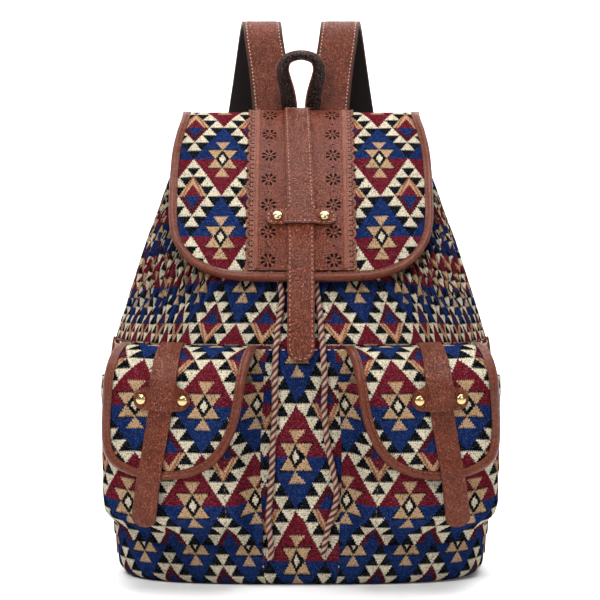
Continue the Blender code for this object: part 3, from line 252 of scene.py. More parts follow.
def ease(t):
    """Smooth step from 0 to 1."""
    t = np.clip(t, 0.0, 1.0)
    return t * t * (3 - 2 * t)


def ramp(at, start, run):
    """Smooth step that begins at a start and takes a run, in millimetres; a run below 0 goes back."""
    return ease((at - start * MM) / (run * MM))


def smooth_path(points, steps=12):
    """Close points on a smooth curve through the given ones."""
    path = np.array(points, float)
    result = []
    for index in range(len(path) - 1):
        before, start = path[max(index - 1, 0)], path[index]
        end, after = path[index + 1], path[min(index + 2, len(path) - 1)]
        for t in np.arange(steps) / steps:
            result.append(0.5 * (2 * start + (end - before) * t
                                 + (2 * before - 5 * start + 4 * end - after) * t**2
                                 + (3 * start - before - 3 * end + after) * t**3))
    return np.array([*result, path[-1]])


def run_length(path):
    """Distance along a path at each of its points."""
    return np.concatenate([[0], np.cumsum(np.linalg.norm(np.diff(path, axis=0), axis=1))])


def placed(values, distance, at):
    """Values given at distances along a line, read at other distances."""
    return np.stack([np.interp(at, distance, column) for column in values.T], -1)


def even_path(points, spacing, smooth=True):
    """Evenly spaced points along a path."""
    fine = smooth_path(points) if smooth else np.array(points, float)
    distance = run_length(fine)
    return placed(fine, distance, np.linspace(0, distance[-1], max(2, round(distance[-1] / spacing) + 1)))


def unit(vectors):
    """Vectors at length 1."""
    return vectors / np.maximum(np.linalg.norm(vectors, axis=-1, keepdims=True), 1e-12)


def direction(path):
    """Direction of a path at each of its points."""
    return unit(np.gradient(path, axis=0))


def offset_left(path, amount):
    """A line drawn flat, moved to its left."""
    run = direction(path)
    return path + joined(-run[:, 1], run[:, 0]) * amount


def body(angle, z, inset=0.0):
    """Body's outer face, moved in by inset, at angles in degrees and heights."""
    angle, z = np.broadcast_arrays(np.radians(angle), z)
    cos, sin = np.cos(angle), np.sin(angle)
    middle = widest_y(z)
    depth = np.where(sin < 0, middle - front_y(z), back_y(z) - middle) - inset
    power = np.where(sin < 0, 2 * MM / front_squareness(z), 2 / BACK_SQUARENESS)
    across = half_width(z) - inset
    return joined(np.sign(cos) * across * np.abs(cos)**power,
                  middle + np.sign(sin) * depth * np.abs(sin)**power, z)


ROUND_ANGLES = np.linspace(-90, 0, 361)
ROUND_ALONG = run_length(body(ROUND_ANGLES, (POCKET_BOTTOM_Z + WAIST_Z) / 2))
SEAM_ALONG = ROUND_ALONG[-1]


def front(along, z, lift=0.0):
    """Body's front at a distance round it from its middle, lifted off its face."""
    along, z = np.broadcast_arrays(along, z)
    angle = np.interp(np.abs(along), ROUND_ALONG, ROUND_ANGLES)
    run = body(np.minimum(angle + 1, 0), z) - body(np.maximum(angle - 1, -90), z)
    outward = unit(joined(run[..., 1], -run[..., 0], 0.0))
    point = body(angle, z) + outward * np.asarray(lift)[..., None]
    point[..., 0] = np.copysign(point[..., 0], along)
    return point


flap_line = smooth_path(np.array(FLAP_PATH) * MM, 24)
flap_down = run_length(flap_line)


def flap(x, down):
    """Main flap's outer face at x and a distance down from the back seam."""
    y, z = (np.interp(down, flap_down, column) for column in flap_line.T)
    wrap = FLAP_WRAP * (np.abs(x) / FLAP_WRAP_AT)**2.4 * ramp(down, 20, 70)
    corner = (np.abs(x) / half_width(BACK_TOP_Z))**BACK_SQUARENESS
    return joined(x, y + wrap - 9 * MM * corner * (1 - ramp(down, 0, 24)), z)


def pocket_share(along):
    """Share of the way from a pocket's inner seam to the side seam."""
    return (np.abs(along) - POCKET_INNER) / (SEAM_ALONG - POCKET_INNER)


def pocket_lift(along, z):
    """How far a pocket's outer face stands off the body."""
    share = pocket_share(along)
    across = ease(share / 0.13) * (1 - ease((share - 0.5) / 0.5))
    return POCKET_DEPTH * across * ramp(z - POCKET_BOTTOM_Z, 0, 22)


def pocket_flap(along, down):
    """Pocket flap's outer face at a distance round the body and down from the waist seam."""
    sewn = FABRIC + GAP
    off_body = POCKET_DEPTH + POCKET_CLEARANCE - (POCKET_DEPTH - POCKET_SPRING) * ease(
        (pocket_share(along) - 0.5) / 0.5)
    turn = math.pi / 4 * (POCKET_FALL + off_body)
    angle = np.minimum(down / turn, 1) * math.pi / 2
    z = WAIST_Z - POCKET_FALL * (1 - np.cos(angle)) - np.maximum(down - turn, 0)
    return front(along, z, sewn + (off_body - sewn) * np.sin(angle))


def back(x, z):
    """Back panel's outer face at x and a height."""
    middle = widest_y(z)
    share = np.minimum(np.abs(x) / half_width(z), 1.0)
    return joined(x, middle + (back_y(z) - middle) * (1 - share**BACK_SQUARENESS)**(1 / BACK_SQUARENESS), z)


def front_middle(x, z):
    """Body's front at x and a height."""
    share = np.minimum(np.abs(x) / half_width(z), 0.999)
    power = front_squareness(z) / MM
    middle = widest_y(z)
    return joined(x, middle - (middle - front_y(z)) * (1 - share**power)**(1 / power), z)


OUTWARD = {flap: (0, -0.7, 0.7), pocket_flap: (0, -1, 0.2), back: (0, 1, 0)}


def normals(surface, u, v):
    """Outward unit normals of a surface."""
    step = 0.4 * MM
    across = surface(u + step, v) - surface(u - step, v)
    along = surface(u, v + step) - surface(u, np.maximum(v - step, 0.0))
    normal = unit(np.cross(across, along))
    return np.where((normal @ np.array(OUTWARD[surface]))[..., None] < 0, -normal, normal)


def laid(surface, u, v, lift):
    """Points of a surface moved off it."""
    u, v, lift = np.broadcast_arrays(np.asarray(u, float), np.asarray(v, float), np.asarray(lift, float))
    return surface(u, v) + normals(surface, u, v) * lift[..., None]


def ripple(size, seed, *place):
    """Smooth noise from -1 to 1 at each place, with features of a size."""
    points = joined(*place) / size
    shift = Vector((seed, seed * 0.7, -seed))
    values = [noise.noise(Vector(point) + shift if len(point) > 2 else Vector((*point, seed)))
              for point in points.reshape(-1, points.shape[-1])]
    return np.array(values).reshape(points.shape[:-1])


def weave_place(weave, across, height):
    """Place in the pattern, counted in triangles and rows, for places across and heights."""
    width, row, figure_x, figure_z = (measure * MM for measure in weave)
    return joined((across - figure_x) / width + 2, (figure_z - height) / row - 1)


# Materials.

def feed(slot, value):
    """Give a node's input a wire, a socket, a colour or a number."""
    if isinstance(value, Wire):
        value = value.socket
    if isinstance(value, bpy.types.NodeSocket):
        slot.id_data.links.new(value, slot)
    else:
        slot.default_value = (*value, 1) if slot.type == "RGBA" else value


def add_node(tree, kind, *inputs, **settings):
    """Node with its settings, and its inputs as (name or number, value) pairs."""
    node = tree.nodes.new("ShaderNode" + kind)
    for setting, value in settings.items():
        setattr(node, setting, value)
    for slot, value in inputs:
        feed(node.inputs[slot], value)
    return node


class Wire:
    """A value in a node tree, with the arithmetic that patterns need."""

    def __init__(self, socket):
        self.tree, self.socket = socket.id_data, socket

    def join(self, operation, *others, clamp=False):
        inputs = enumerate((self, *others))
        return Wire(add_node(self.tree, "Math", *inputs, operation=operation, use_clamp=clamp).outputs[0])

    def wrap(self, length):
        return self - (self / length).floor() * length

    def clamp(self):
        return self.join("ADD", 0.0, clamp=True)


for method, operation in (("__add__", "ADD"), ("__sub__", "SUBTRACT"), ("__mul__", "MULTIPLY"),
                          ("__truediv__", "DIVIDE"), ("__lt__", "LESS_THAN"), ("__gt__", "GREATER_THAN"),
                          ("floor", "FLOOR"), ("size", "ABSOLUTE"), ("sine", "SINE")):
    setattr(Wire, method, functools.partialmethod(Wire.join, operation))


def mix_colour(share, low, high):
    """Colour between two, each a colour or a socket."""
    return add_node(share.tree, "Mix", (0, share), (6, low), (7, high), data_type="RGBA").outputs[2]


def shade(colour, amount):
    """Colour multiplied by a value."""
    return add_node(amount.tree, "VectorMath", (0, colour), ("Scale", amount), operation="SCALE").outputs[0]


def start_group(name, inputs, outputs):
    """Node group with its sockets given as {name: kind}, and the sockets inside it."""
    group = bpy.data.node_groups.new(name, "ShaderNodeTree")
    for way, sockets in (("INPUT", inputs), ("OUTPUT", outputs)):
        for socket, kind in sockets.items():
            group.interface.new_socket(socket, in_out=way, socket_type="NodeSocket" + kind)
    return group, group.nodes.new("NodeGroupInput").outputs, group.nodes.new("NodeGroupOutput").inputs


def noise_wire(place, scale, detail):
    """Value of smooth noise at a place."""
    return Wire(add_node(place.id_data, "TexNoise", ("Vector", place), ("Scale", scale), ("Detail", detail),
                         ("Roughness", 0.6)).outputs[0])


def axes(place):
    """First two coordinates of a place."""
    split = add_node(place.id_data, "SeparateXYZ", (0, place))
    return Wire(split.outputs[0]), Wire(split.outputs[1])


CREAM = (0.7, 0.62, 0.46)
BLACK = (0.003, 0.0035, 0.003)
BLUE = (0.007, 0.023, 0.105)
RED = (0.14, 0.009, 0.016)
MAROON = (0.075, 0.007, 0.01)
TAN = (0.5, 0.32, 0.175)
RUST = (0.36, 0.12, 0.06)
PALE_SPECK = (0.4, 0.46, 0.7)
DARK_SPECK = (0.02, 0.016, 0.016)


def triangle_weave():
    """Group that puts out the triangle pattern, from a place counted in triangles and rows."""
    group, given, out = start_group("triangle_weave", {"Place": "Vector"},
                                    {"Color": "Color", "Height": "Float"})
    x, y = axes(given["Place"])
    thread_x, thread_y = (x * THREADS_ACROSS).floor(), (y * THREADS_DOWN).floor()
    tooth = (thread_x.wrap(2) < 1) * 0.09
    px = (thread_x + 0.5) / THREADS_ACROSS
    py = ((y + tooth) * THREADS_DOWN).floor() / THREADS_DOWN + 0.03

    # Large diamonds of small triangles, each with a small diamond in its middle.
    column = ((px + 2).wrap(4) - 2).size()
    row = (py + 1).wrap(8) - 1
    off = (row - 3).size()
    lower = row > 3
    field = (column * 2 + off) < 4
    small = (column * 2 + off) < 2
    upright = (px + py * 0.5 + 0.5).floor() - (px - py * 0.5 + 0.5).floor() - py.floor()
    blue_heart = column < (row - 1.75) * 0.46
    red_heart = column < (row * -1 + 4.2) * 0.48
    stripe = (column - (row * -1 + 5) * 0.36).size() < 0.07
    above = mix_colour(blue_heart, MAROON, BLUE)
    below = mix_colour(red_heart, mix_colour(stripe, TAN, RUST), RED)
    colour = mix_colour(small, mix_colour(upright, CREAM, BLACK), mix_colour(lower, above, below))

    # Tan figures with a black outline and heart, on the plain ground between the diamonds.
    side = column * -1 + 2
    depth = (row + 1).size() * (lower * -1 + 1) + (row - 7).size() * lower
    tan = (((side - 0.5).size() < depth * 0.5) * (depth < 1)
           + (side < (depth - 1) * 0.5) * (depth > 1) * (depth < 2))
    outline = ((side - 0.5).size() < depth * 0.5 + 0.07) * (depth < 1.12) * (depth > 0.16)
    ring = side < (depth * -1 + 1) * 0.5
    core = (side * 2 + depth) < 0.5
    figure = mix_colour(lower, BLUE, RED)
    for share, tone in ((outline.clamp(), BLACK), (tan.clamp(), TAN), (ring, BLACK), (core, CREAM)):
        figure = mix_colour(share, figure, tone)
    colour = mix_colour(field, figure, colour)

    # Each crossing of threads has its own chance of a speck and its own brightness.
    cell = add_node(group, "CombineXYZ", (0, thread_x), (1, thread_y))
    chance = Wire(add_node(group, "TexWhiteNoise", ("Vector", cell.outputs[0]),
                           noise_dimensions="2D").outputs["Value"])
    colour = mix_colour((chance > 0.8) * 0.05, colour, PALE_SPECK)
    colour = mix_colour((chance < 0.14) * 0.6, colour, DARK_SPECK)
    tall = ((x * (THREADS_ACROSS * 2 * math.pi)).sine() * 0.5
            + (thread_x.wrap(2) - 0.5) * (y * (THREADS_DOWN * 2 * math.pi)).sine())
    height = (tall * 0.5 + 0.5).clamp()
    weft = (y * (7 * 2 * math.pi)).sine() * 0.16 + 0.9
    # The colour is darker where the threads lie low: painted shade between the threads, beside each
    # crossing's own random brightness.
    feed(out["Color"], shade(colour, (height * 0.35 + chance * 0.55 + 0.46) * weft))
    feed(out["Height"], height)
    return group


def leather_grain():
    """Group that puts out pebbled leather's colour, height and roughness."""
    group, given, out = start_group(
        "leather_grain", {"Place": "Vector", "Pebbles": "Float", "Dark": "Color", "Middle": "Color",
                          "Mottle And Highlight": "Color", "Gloss": "Float"},
        {"Color": "Color", "Height": "Float", "Roughness": "Float"})
    warp = add_node(group, "TexNoise", ("Vector", given["Place"]), ("Scale", 420))
    bent = add_node(group, "VectorMath", operation="MULTIPLY_ADD")
    for slot, value in enumerate((warp.outputs["Color"], (0.0012, 0.0012, 0.0012), given["Place"])):
        feed(bent.inputs[slot], value)
    edges, cells = (add_node(group, "TexVoronoi", ("Vector", bent.outputs[0]), ("Scale", given["Pebbles"]),
                             feature=feature) for feature in ("DISTANCE_TO_EDGE", "F1"))
    crease = (Wire(edges.outputs["Distance"]) * 5).clamp()
    pebble_tone = Wire(add_node(group, "SeparateColor", (0, cells.outputs["Color"])).outputs[0])
    cloud = noise_wire(given["Place"], 55.0, 4.0)
    fine = noise_wire(given["Place"], 900.0, 2.0)
    colour = mix_colour((cloud * 0.7 + 0.42).clamp(), given["Dark"], given["Middle"])
    # Darker towards the pebble edges: painted shade in the creases of the grain.
    colour = mix_colour((crease * 0.8 + 0.2).clamp(), given["Dark"], colour)
    # Pale pebble tops picked by noise: painted highlights, mixed with a random mottle of tone.
    mottle_and_highlight = ((cloud * 0.5 + pebble_tone * 0.7 + fine * 0.5 - 0.86) * 2.4).clamp() * crease
    feed(out["Color"], mix_colour(mottle_and_highlight * 0.26, colour, given["Mottle And Highlight"]))
    feed(out["Height"], crease * (pebble_tone * 0.5 + 0.6) + fine * 0.3)
    feed(out["Roughness"], (Wire(given["Gloss"]) + (cloud - 0.5) * 0.4 - crease * 0.08).clamp())
    return group


WEAVE = triangle_weave()
GRAIN = leather_grain()
SLOTS = {}


def start_material(name, slot):
    """Material for a slot, with its shader, its flat place and its place on the piece."""
    material = bpy.data.materials.new(name)
    material.use_nodes = True
    tree = material.node_tree
    SLOTS[material.name] = slot
    return (material, tree.nodes["Principled BSDF"], add_node(tree, "UVMap", uv_map="flat").outputs[0],
            add_node(tree, "TexCoord").outputs["Object"])


def finish_shader(shader, colour, rough, height, bump, strength=1.0, shine=0.5):
    """Colour, roughness, bump and shine of a shader."""
    relief = add_node(shader.id_data, "Bump", ("Distance", bump), ("Strength", strength),
                      ("Height", height))
    for slot, value in (("Base Color", colour), ("Roughness", rough), ("Normal", relief.outputs[0]),
                        ("Specular IOR Level", shine)):
        feed(shader.inputs[slot], value)


def make_weave():
    """Triangle weave placed by the piece's flat coordinates."""
    material, shader, flat, place = start_material("triangle_weave_cloth", "woven_fabric")
    weave = add_node(material.node_tree, "Group", ("Place", flat), node_tree=WEAVE)
    soil = noise_wire(place, 16.0, 4.0)
    fuzz = noise_wire(place, 1500.0, 2.0)
    finish_shader(shader, shade(weave.outputs["Color"], soil * 0.55 + 0.7), (fuzz * 0.12 + 0.82).clamp(),
                  Wire(weave.outputs["Height"]) + fuzz * 0.4, 0.0007, 0.8, shine=0.0)
    return material


def make_leather(name, slot, dark, middle, mottle_and_highlight, gloss, pebbles, bump, coat=0.0, paler_from=None):
    """Leather in the given tones, paler beyond a distance from the middle line if asked."""
    material, shader, flat, place = start_material(name, slot)
    grain = add_node(material.node_tree, "Group", ("Place", place), ("Pebbles", pebbles), ("Gloss", gloss),
                     ("Dark", dark), ("Middle", middle), ("Mottle And Highlight", mottle_and_highlight), node_tree=GRAIN)
    colour = grain.outputs["Color"]
    if paler_from:
        colour = mix_colour((axes(flat)[0].size() > paler_from) * 0.22, colour, (0.6, 0.3, 0.22))
    finish_shader(shader, colour, grain.outputs["Roughness"], grain.outputs["Height"], bump, shine=0.24)
    shader.inputs["Coat Weight"].default_value = coat
    shader.inputs["Coat Roughness"].default_value = 0.25
    return material


def make_ribbed(name, slot, low, high, ribs, roughness, bump):
    """Woven tape, lining or thread, ribbed across its flat coordinates."""
    material, shader, flat, place = start_material(name, slot)
    x, y = axes(flat)
    rib = ((x * (ribs[0] * 2 * math.pi)).sine() * (y * (ribs[1] * 2 * math.pi)).sine() * 0.5 + 0.5).clamp()
    cloud = noise_wire(place, 90.0, 3.0)
    finish_shader(shader, mix_colour((rib * 0.6 + cloud * 0.5).clamp(), low, high),
                  (cloud * 0.15 + roughness).clamp(), rib, bump, shine=0.1)
    return material


def make_cord():
    """Twisted cord, brown and pale plies told apart by the flat coordinate across."""
    material, shader, flat, place = start_material("twisted_cord_plies", "twisted_cord")
    ply, along = axes(flat)
    fibre = ((along * 9000 + ply * 40).sine() * 0.5 + 0.5).clamp()
    cloud = noise_wire(place, 700.0, 3.0)
    colour = mix_colour(ply > 1.5, (0.045, 0.01, 0.006), (0.5, 0.27, 0.2))
    # Darker in the grooves between fibres: painted shade, with random cloud in the tone.
    finish_shader(shader, shade(colour, fibre * 0.5 + cloud * 0.5 + 0.42), (cloud * 0.2 + 0.5).clamp(),
                  fibre, 0.0003)
    return material


def make_gold():
    """Pale gold plating with light scratches."""
    material, shader, flat, place = start_material("pale_gold_plating", "gold_metal")
    scratch = noise_wire(place, 800.0, 4.0)
    finish_shader(shader, mix_colour(scratch, (0.5, 0.33, 0.13), (0.76, 0.58, 0.3)),
                  (scratch * 0.25 + 0.12).clamp(), scratch, 0.0001, 0.3)
    shader.inputs["Metallic"].default_value = 1.0
    return material


CLOTH = make_weave()
# Leathers take a dark, a middle and a pale colour: the dark one is also painted into the grain's creases as
# shade, the pale one onto pebble tops as highlights and mottle.
BROWN = make_leather("pebbled_brown_leather", "brown_leather", (0.05, 0.007, 0.003), (0.3, 0.058, 0.02),
                     (0.62, 0.28, 0.19), 0.38, 760, 0.0028)
LACE = make_leather("cut_panel_leather", "brown_leather", (0.055, 0.008, 0.003), (0.24, 0.043, 0.014),
                    (0.45, 0.16, 0.09), 0.42, 740, 0.0015, paler_from=LACE_HALF_WIDTH - 8 * MM)
BOUND = make_leather("binding_leather", "binding_leather", (0.06, 0.009, 0.003), (0.24, 0.046, 0.016),
                     (0.45, 0.16, 0.09), 0.32, 800, 0.001, 0.15)
WELT = make_leather("worn_welt_leather", "brown_leather", (0.1, 0.02, 0.009), (0.3, 0.085, 0.045),
                    (0.5, 0.22, 0.15), 0.4, 900, 0.0006)
EDGE = make_leather("painted_leather_edge", "brown_leather", (0.02, 0.007, 0.005), (0.05, 0.015, 0.01),
                    (0.1, 0.035, 0.02), 0.5, 1500, 0.0001)
DARK = make_leather("dark_handle_leather", "dark_leather", (0.006, 0.002, 0.0015), (0.026, 0.008, 0.006),
                    (0.14, 0.07, 0.055), 0.36, 420, 0.002)
LINING = make_ribbed("dark_lining_cloth", "dark_lining", (0.003, 0.002, 0.002), (0.014, 0.009, 0.008),
                     (700, 700), 0.5, 0.0003)
WEBBING = make_ribbed("black_webbing_tape", "black_webbing", (0.006, 0.006, 0.006), (0.03, 0.027, 0.026),
                      (420, 300), 0.65, 0.0006)
THREAD, ROSE_THREAD, BROWN_THREAD = (
    make_ribbed(tone + "_sewing_thread", "woven_fabric", low, high, (3, 2500), 0.6, 0.0001)
    for tone, low, high in (("pale", (0.42, 0.33, 0.25), (0.75, 0.66, 0.52)),
                            ("rose", (0.3, 0.13, 0.09), (0.55, 0.32, 0.25)),
                            ("brown", (0.1, 0.05, 0.035), (0.25, 0.14, 0.1))))
CORD = make_cord()
GOLD = make_gold()


# Ways of making a piece.

def add_piece(name, points, faces, flat, material, replaced=(), painted_from=None, bevel=0.0, slot=None):
    """Piece from points, faces and a flat coordinate for each point, riding on the frame."""
    mesh = bpy.data.meshes.new(name)
    mesh.from_pydata([tuple(point) for point in points], [], [tuple(face) for face in faces])
    layer = mesh.uv_layers.new(name="flat")
    corners = np.empty(len(mesh.loops), int)
    mesh.loops.foreach_get("vertex_index", corners)
    layer.data.foreach_set("uv", np.asarray(flat, np.float32)[corners].ravel())
    mesh.materials.append(material)
    if painted_from is not None:
        mesh.materials.append(EDGE)
        for face in mesh.polygons[painted_from:]:
            face.material_index = 1
    bm = bmesh.new()
    bm.from_mesh(mesh)
    bmesh.ops.recalc_face_normals(bm, faces=bm.faces[:])
    if bm.calc_volume(signed=True) < 0:
        bmesh.ops.reverse_faces(bm, faces=bm.faces[:])
    bm.to_mesh(mesh)
    bm.free()
    mesh.shade_smooth()
    mesh.set_sharp_from_angle(angle=math.radians(50))
    piece = bpy.data.objects.new(name, mesh)
    bpy.context.scene.collection.objects.link(piece)
    if bevel:
        rounding = piece.modifiers.new("rounded_edges", "BEVEL")
        rounding.width = bevel
        rounding.segments = 2
        rounding.limit_method = "ANGLE"
        rounding.angle_limit = math.radians(55)
        rounding.harden_normals = False
    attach(piece, "root")
    if replaced:
        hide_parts(replaced)
    slot or SLOTS[material.name]
    return piece


def grid_faces(rows, columns, start=0, wrap=False):
    """Faces of a grid of points."""
    return [(start + r * columns + c, start + r * columns + (c + 1) % columns,
             start + (r + 1) * columns + (c + 1) % columns, start + (r + 1) * columns + c)
            for r in range(rows - 1) for c in range(columns if wrap else columns - 1)]


def tube_faces(rows, size, start=0):
    """Faces of a closed tube of rings, with its two ends."""
    last = start + (rows - 1) * size
    return grid_faces(rows, size, start, wrap=True) + [tuple(range(start, start + size)),
                                                       tuple(range(last, last + size))]


def declare_cloth(piece, width, length, held, on):
    """Declares nothing: piece, width, length and held are not used, and on is only turned into a list."""
    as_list(on)


def cloth_grid(name, outer, flat, replaced, centre, thickness=FABRIC, held=None, on=()):
    """Cloth under a grid of points that faces away from a centre, with its spans measured if it is held."""
    normal = unit(np.cross(np.gradient(outer, axis=1), np.gradient(outer, axis=0)))
    if (normal * (outer - np.array(centre))).sum(-1).mean() < 0:
        normal = -normal
    inner = outer - normal * thickness
    rows, columns = outer.shape[:2]
    size = rows * columns
    faces = grid_faces(rows, columns) + grid_faces(rows, columns, size)
    for start, step, count in ((0, 1, columns), (size - columns, 1, columns), (0, columns, rows),
                               (columns - 1, columns, rows)):
        faces += [(a, a + step, size + a + step, size + a)
                  for a in range(start, start + step * (count - 1), step)]
    piece = add_piece(name, [*outer.reshape(-1, 3), *inner.reshape(-1, 3)], faces,
                      np.concatenate([flat.reshape(-1, 2)] * 2), CLOTH, replaced)
    if held:
        spans = [max(run_length(line)[-1] for line in lines) for lines in (outer, outer.swapaxes(0, 1))]
        declare_cloth(piece, *spans, held, on)
    return piece


def flat_mesh(outline, holes, spacing):
    """Flat points, faces and rim edges of an outline with holes, cut into a fine grid."""
    bm = bmesh.new()
    edges = []
    for loop in (outline, *holes):
        verts = [bm.verts.new((point[0], point[1], 0)) for point in loop]
        edges += [bm.edges.new(pair) for pair in zip(verts, verts[1:] + verts[:1])]
    bmesh.ops.triangle_fill(bm, use_beauty=True, use_dissolve=False, edges=edges, normal=(0, 0, 1))
    bmesh.ops.dissolve_limit(bm, angle_limit=0.01, use_dissolve_boundaries=False, verts=bm.verts[:],
                             edges=[edge for edge in bm.edges if len(edge.link_faces) == 2])
    spread = np.array([point[:2] for point in outline])
    for axis in (0, 1):
        low, high = spread[:, axis].min(), spread[:, axis].max()
        count = max(2, int((high - low) / (spacing[axis] * MM)))
        for cut in np.linspace(low, high, count + 1)[1:-1]:
            place, normal = Vector(), Vector()
            place[axis], normal[axis] = cut, 1
            bmesh.ops.bisect_plane(bm, geom=bm.verts[:] + bm.edges[:] + bm.faces[:], dist=0.00002,
                                   plane_co=place, plane_no=normal)
    bmesh.ops.triangulate(bm, faces=[face for face in bm.faces if len(face.verts) > 4])
    bm.verts.index_update()
    points = np.array([vert.co[:2] for vert in bm.verts])
    faces = [[vert.index for vert in face.verts] for face in bm.faces]
    rim = [(edge.verts[0].index, edge.verts[1].index) for edge in bm.edges if len(edge.link_faces) == 1]
    bm.free()
    return points, faces, rim


def slab_piece(name, low, high, faces, rim, flat, material, replaced, painted=False, bevel=0.0):
    """Piece between two layers of a flat mesh, with the rim painted if asked."""
    size = len(low)
    shell = faces + [[size + i for i in reversed(face)] for face in faces]
    walls = [(a, b, size + b, size + a) for a, b in rim]
    return add_piece(name, [*low, *high], shell + walls, np.concatenate([flat, flat]), material, replaced,
                     len(shell) if painted else None, bevel * MM)


def plate_piece(name, surface, outline, low, thickness, material, replaced=(), holes=(), spacing=(3, 3),
                side=1, place=None, painted=True, bevel=0.0):
    """Sheet drawn flat and laid on a surface; its spacing and bevel are in millimetres."""
    points, faces, rim = flat_mesh(outline, holes, spacing)
    u, v = points.T
    lift = low(u, v) if callable(low) else low
    layers = [laid(surface, side * u, v, height) for height in (lift, lift + thickness)]
    return slab_piece(name, *layers, faces, rim, points if place is None else place(u, v), material,
                      replaced, painted, bevel)


def oval(count, wide, high):
    """Section of (across, out) pairs round an oval."""
    return joined(np.cos(turns(count)) * wide, np.sin(turns(count)) * high)


def rings_at(path, across, out, profile):
    """A section of (across, out) pairs set at each point of a path."""
    return path[:, None] + across[..., None, :] * profile[..., :1] + out[..., None, :] * profile[..., 1:]


def tube_points(path, profile):
    """Rings of a section carried along a path, with its across kept level."""
    run = direction(path)
    across = unit(np.array((1.0, 0, 0)) - run * run[:, :1])
    return rings_at(path, across, np.cross(run, across), profile)


def section_flat(sections):
    """Flat coordinates for rings of points: round each ring and along the run, in metres."""
    steps = np.linalg.norm(np.diff(sections, axis=1), axis=-1)
    around = np.concatenate([np.zeros((len(sections), 1)), np.cumsum(steps, axis=1)], axis=1)
    return joined(around, run_length(sections.mean(axis=1))[:, None])


def sweep_piece(name, sections, material, replaced=(), flat=None, wrap=False, slot=None):
    """Closed solid through rings of points, whose last ring meets the first if wrapped."""
    rows, size = sections.shape[:2]
    faces = tube_faces(rows, size)
    if wrap:
        faces[-2:] = [((rows - 1) * size + c, (rows - 1) * size + (c + 1) % size, (c + 1) % size, c)
                      for c in range(size)]
    flat = section_flat(sections) if flat is None else flat
    return add_piece(name, sections.reshape(-1, 3), faces, flat.reshape(-1, 2), material, replaced,
                     slot=slot)


def turned_piece(name, profile, seat, axis, replaced):
    """Gold piece turned from (radius, height) points in millimetres about an axis."""
    seat, axis = Vector(seat), Vector(axis).normalized()
    across = axis.orthogonal().normalized()
    other = axis.cross(across)
    rings = np.array([[seat + axis * (height * MM)
                       + (across * math.cos(t) + other * math.sin(t)) * max(radius * MM, 1e-6)
                       for t in turns(32)] for radius, height in profile])
    sweep_piece(name, rings, GOLD, replaced, wrap=profile[0][0] > 0)


STITCH_SHARE = np.array((-0.5, -0.42, -0.2, 0.2, 0.42, 0.5))
STITCH_FATNESS = np.array((0.05, 0.7, 1.0, 1.0, 0.7, 0.05))


def stitch_piece(name, lines, stitch, material=THREAD):
    """Rows of stitches along lines of (points, outward normals)."""
    length, gap, radius = (measure * MM for measure in stitch)
    sides, rings = 6, len(STITCH_SHARE)
    profile = oval(sides, radius, 0.8 * radius) * STITCH_FATNESS[:, None, None]
    dip = -radius * 0.9 * (np.abs(STITCH_SHARE) > 0.4)
    points, faces, flat = [], [], []
    for path, out in lines:
        distance = run_length(path)
        for start in np.arange(gap / 2, distance[-1] - length, length + gap):
            first, last = placed(path, distance, [start, start + length])
            normal = unit(placed(out, distance, start + length / 2))
            span = np.linalg.norm(last - first)
            run = (last - first) / span
            along = STITCH_SHARE * span
            middle = (first + last) / 2 + normal * (radius * 0.35 - 0.1 * MM)
            centres = middle + run * along[:, None] + normal * dip[:, None]
            faces += tube_faces(rings, sides, len(points))
            points += [*rings_at(centres, np.cross(run, normal), normal, profile).reshape(-1, 3)]
            flat += [*joined(turns(sides), (start + along)[:, None]).reshape(-1, 2)]
    add_piece(name, points, faces, flat, material)


def seam_line(surface, path, lift, side=1):
    """Points and normals of a line drawn flat on a surface."""
    u, v = path.T
    lift = lift(u, v) if callable(lift) else lift
    return laid(surface, side * u, v, lift), normals(surface, side * u, v)


def circle(u, v, diameter, sides=8):
    """Flat loop round a centre."""
    return [(u + diameter / 2 * math.cos(t), v + diameter / 2 * math.sin(t)) for t in turns(sides)]


def enclosed(path):
    """Area inside a closed flat line."""
    return abs(0.5 * np.sum(path[:-1, 0] * path[1:, 1] - path[1:, 0] * path[:-1, 1]))


def closed_inset(outline, amount):
    """Closed line inside an outline."""
    path = even_path(np.array(outline + outline[:1]), 1.5 * MM, smooth=False)
    run = direction(np.concatenate([path[-2:-1], path, path[1:2]]))[1:-1]
    shift = joined(-run[:, 1], run[:, 0]) * amount
    return min(path + shift, path - shift, key=enclosed)


# Body.

def spread_angles(start, end, count, z):
    """Angles evenly spaced along the body at a height."""
    fine = np.linspace(start, end, 1500)
    along = run_length(body(fine, z))
    return np.interp(np.linspace(0, 1, count), along / along[-1], fine)


def rounded_rows(top, spacing):
    """Insets and heights up a wall from its rounded bottom edge."""
    low = [(BASE_RADIUS * (1 - math.sin(t)), BASE_RADIUS * (1 - math.cos(t)))
           for t in np.linspace(0, 1, 7) * math.pi / 2]
    return np.array(low + [(0, z) for z in np.arange(BASE_RADIUS + spacing, top, spacing)] + [(0, top)]).T


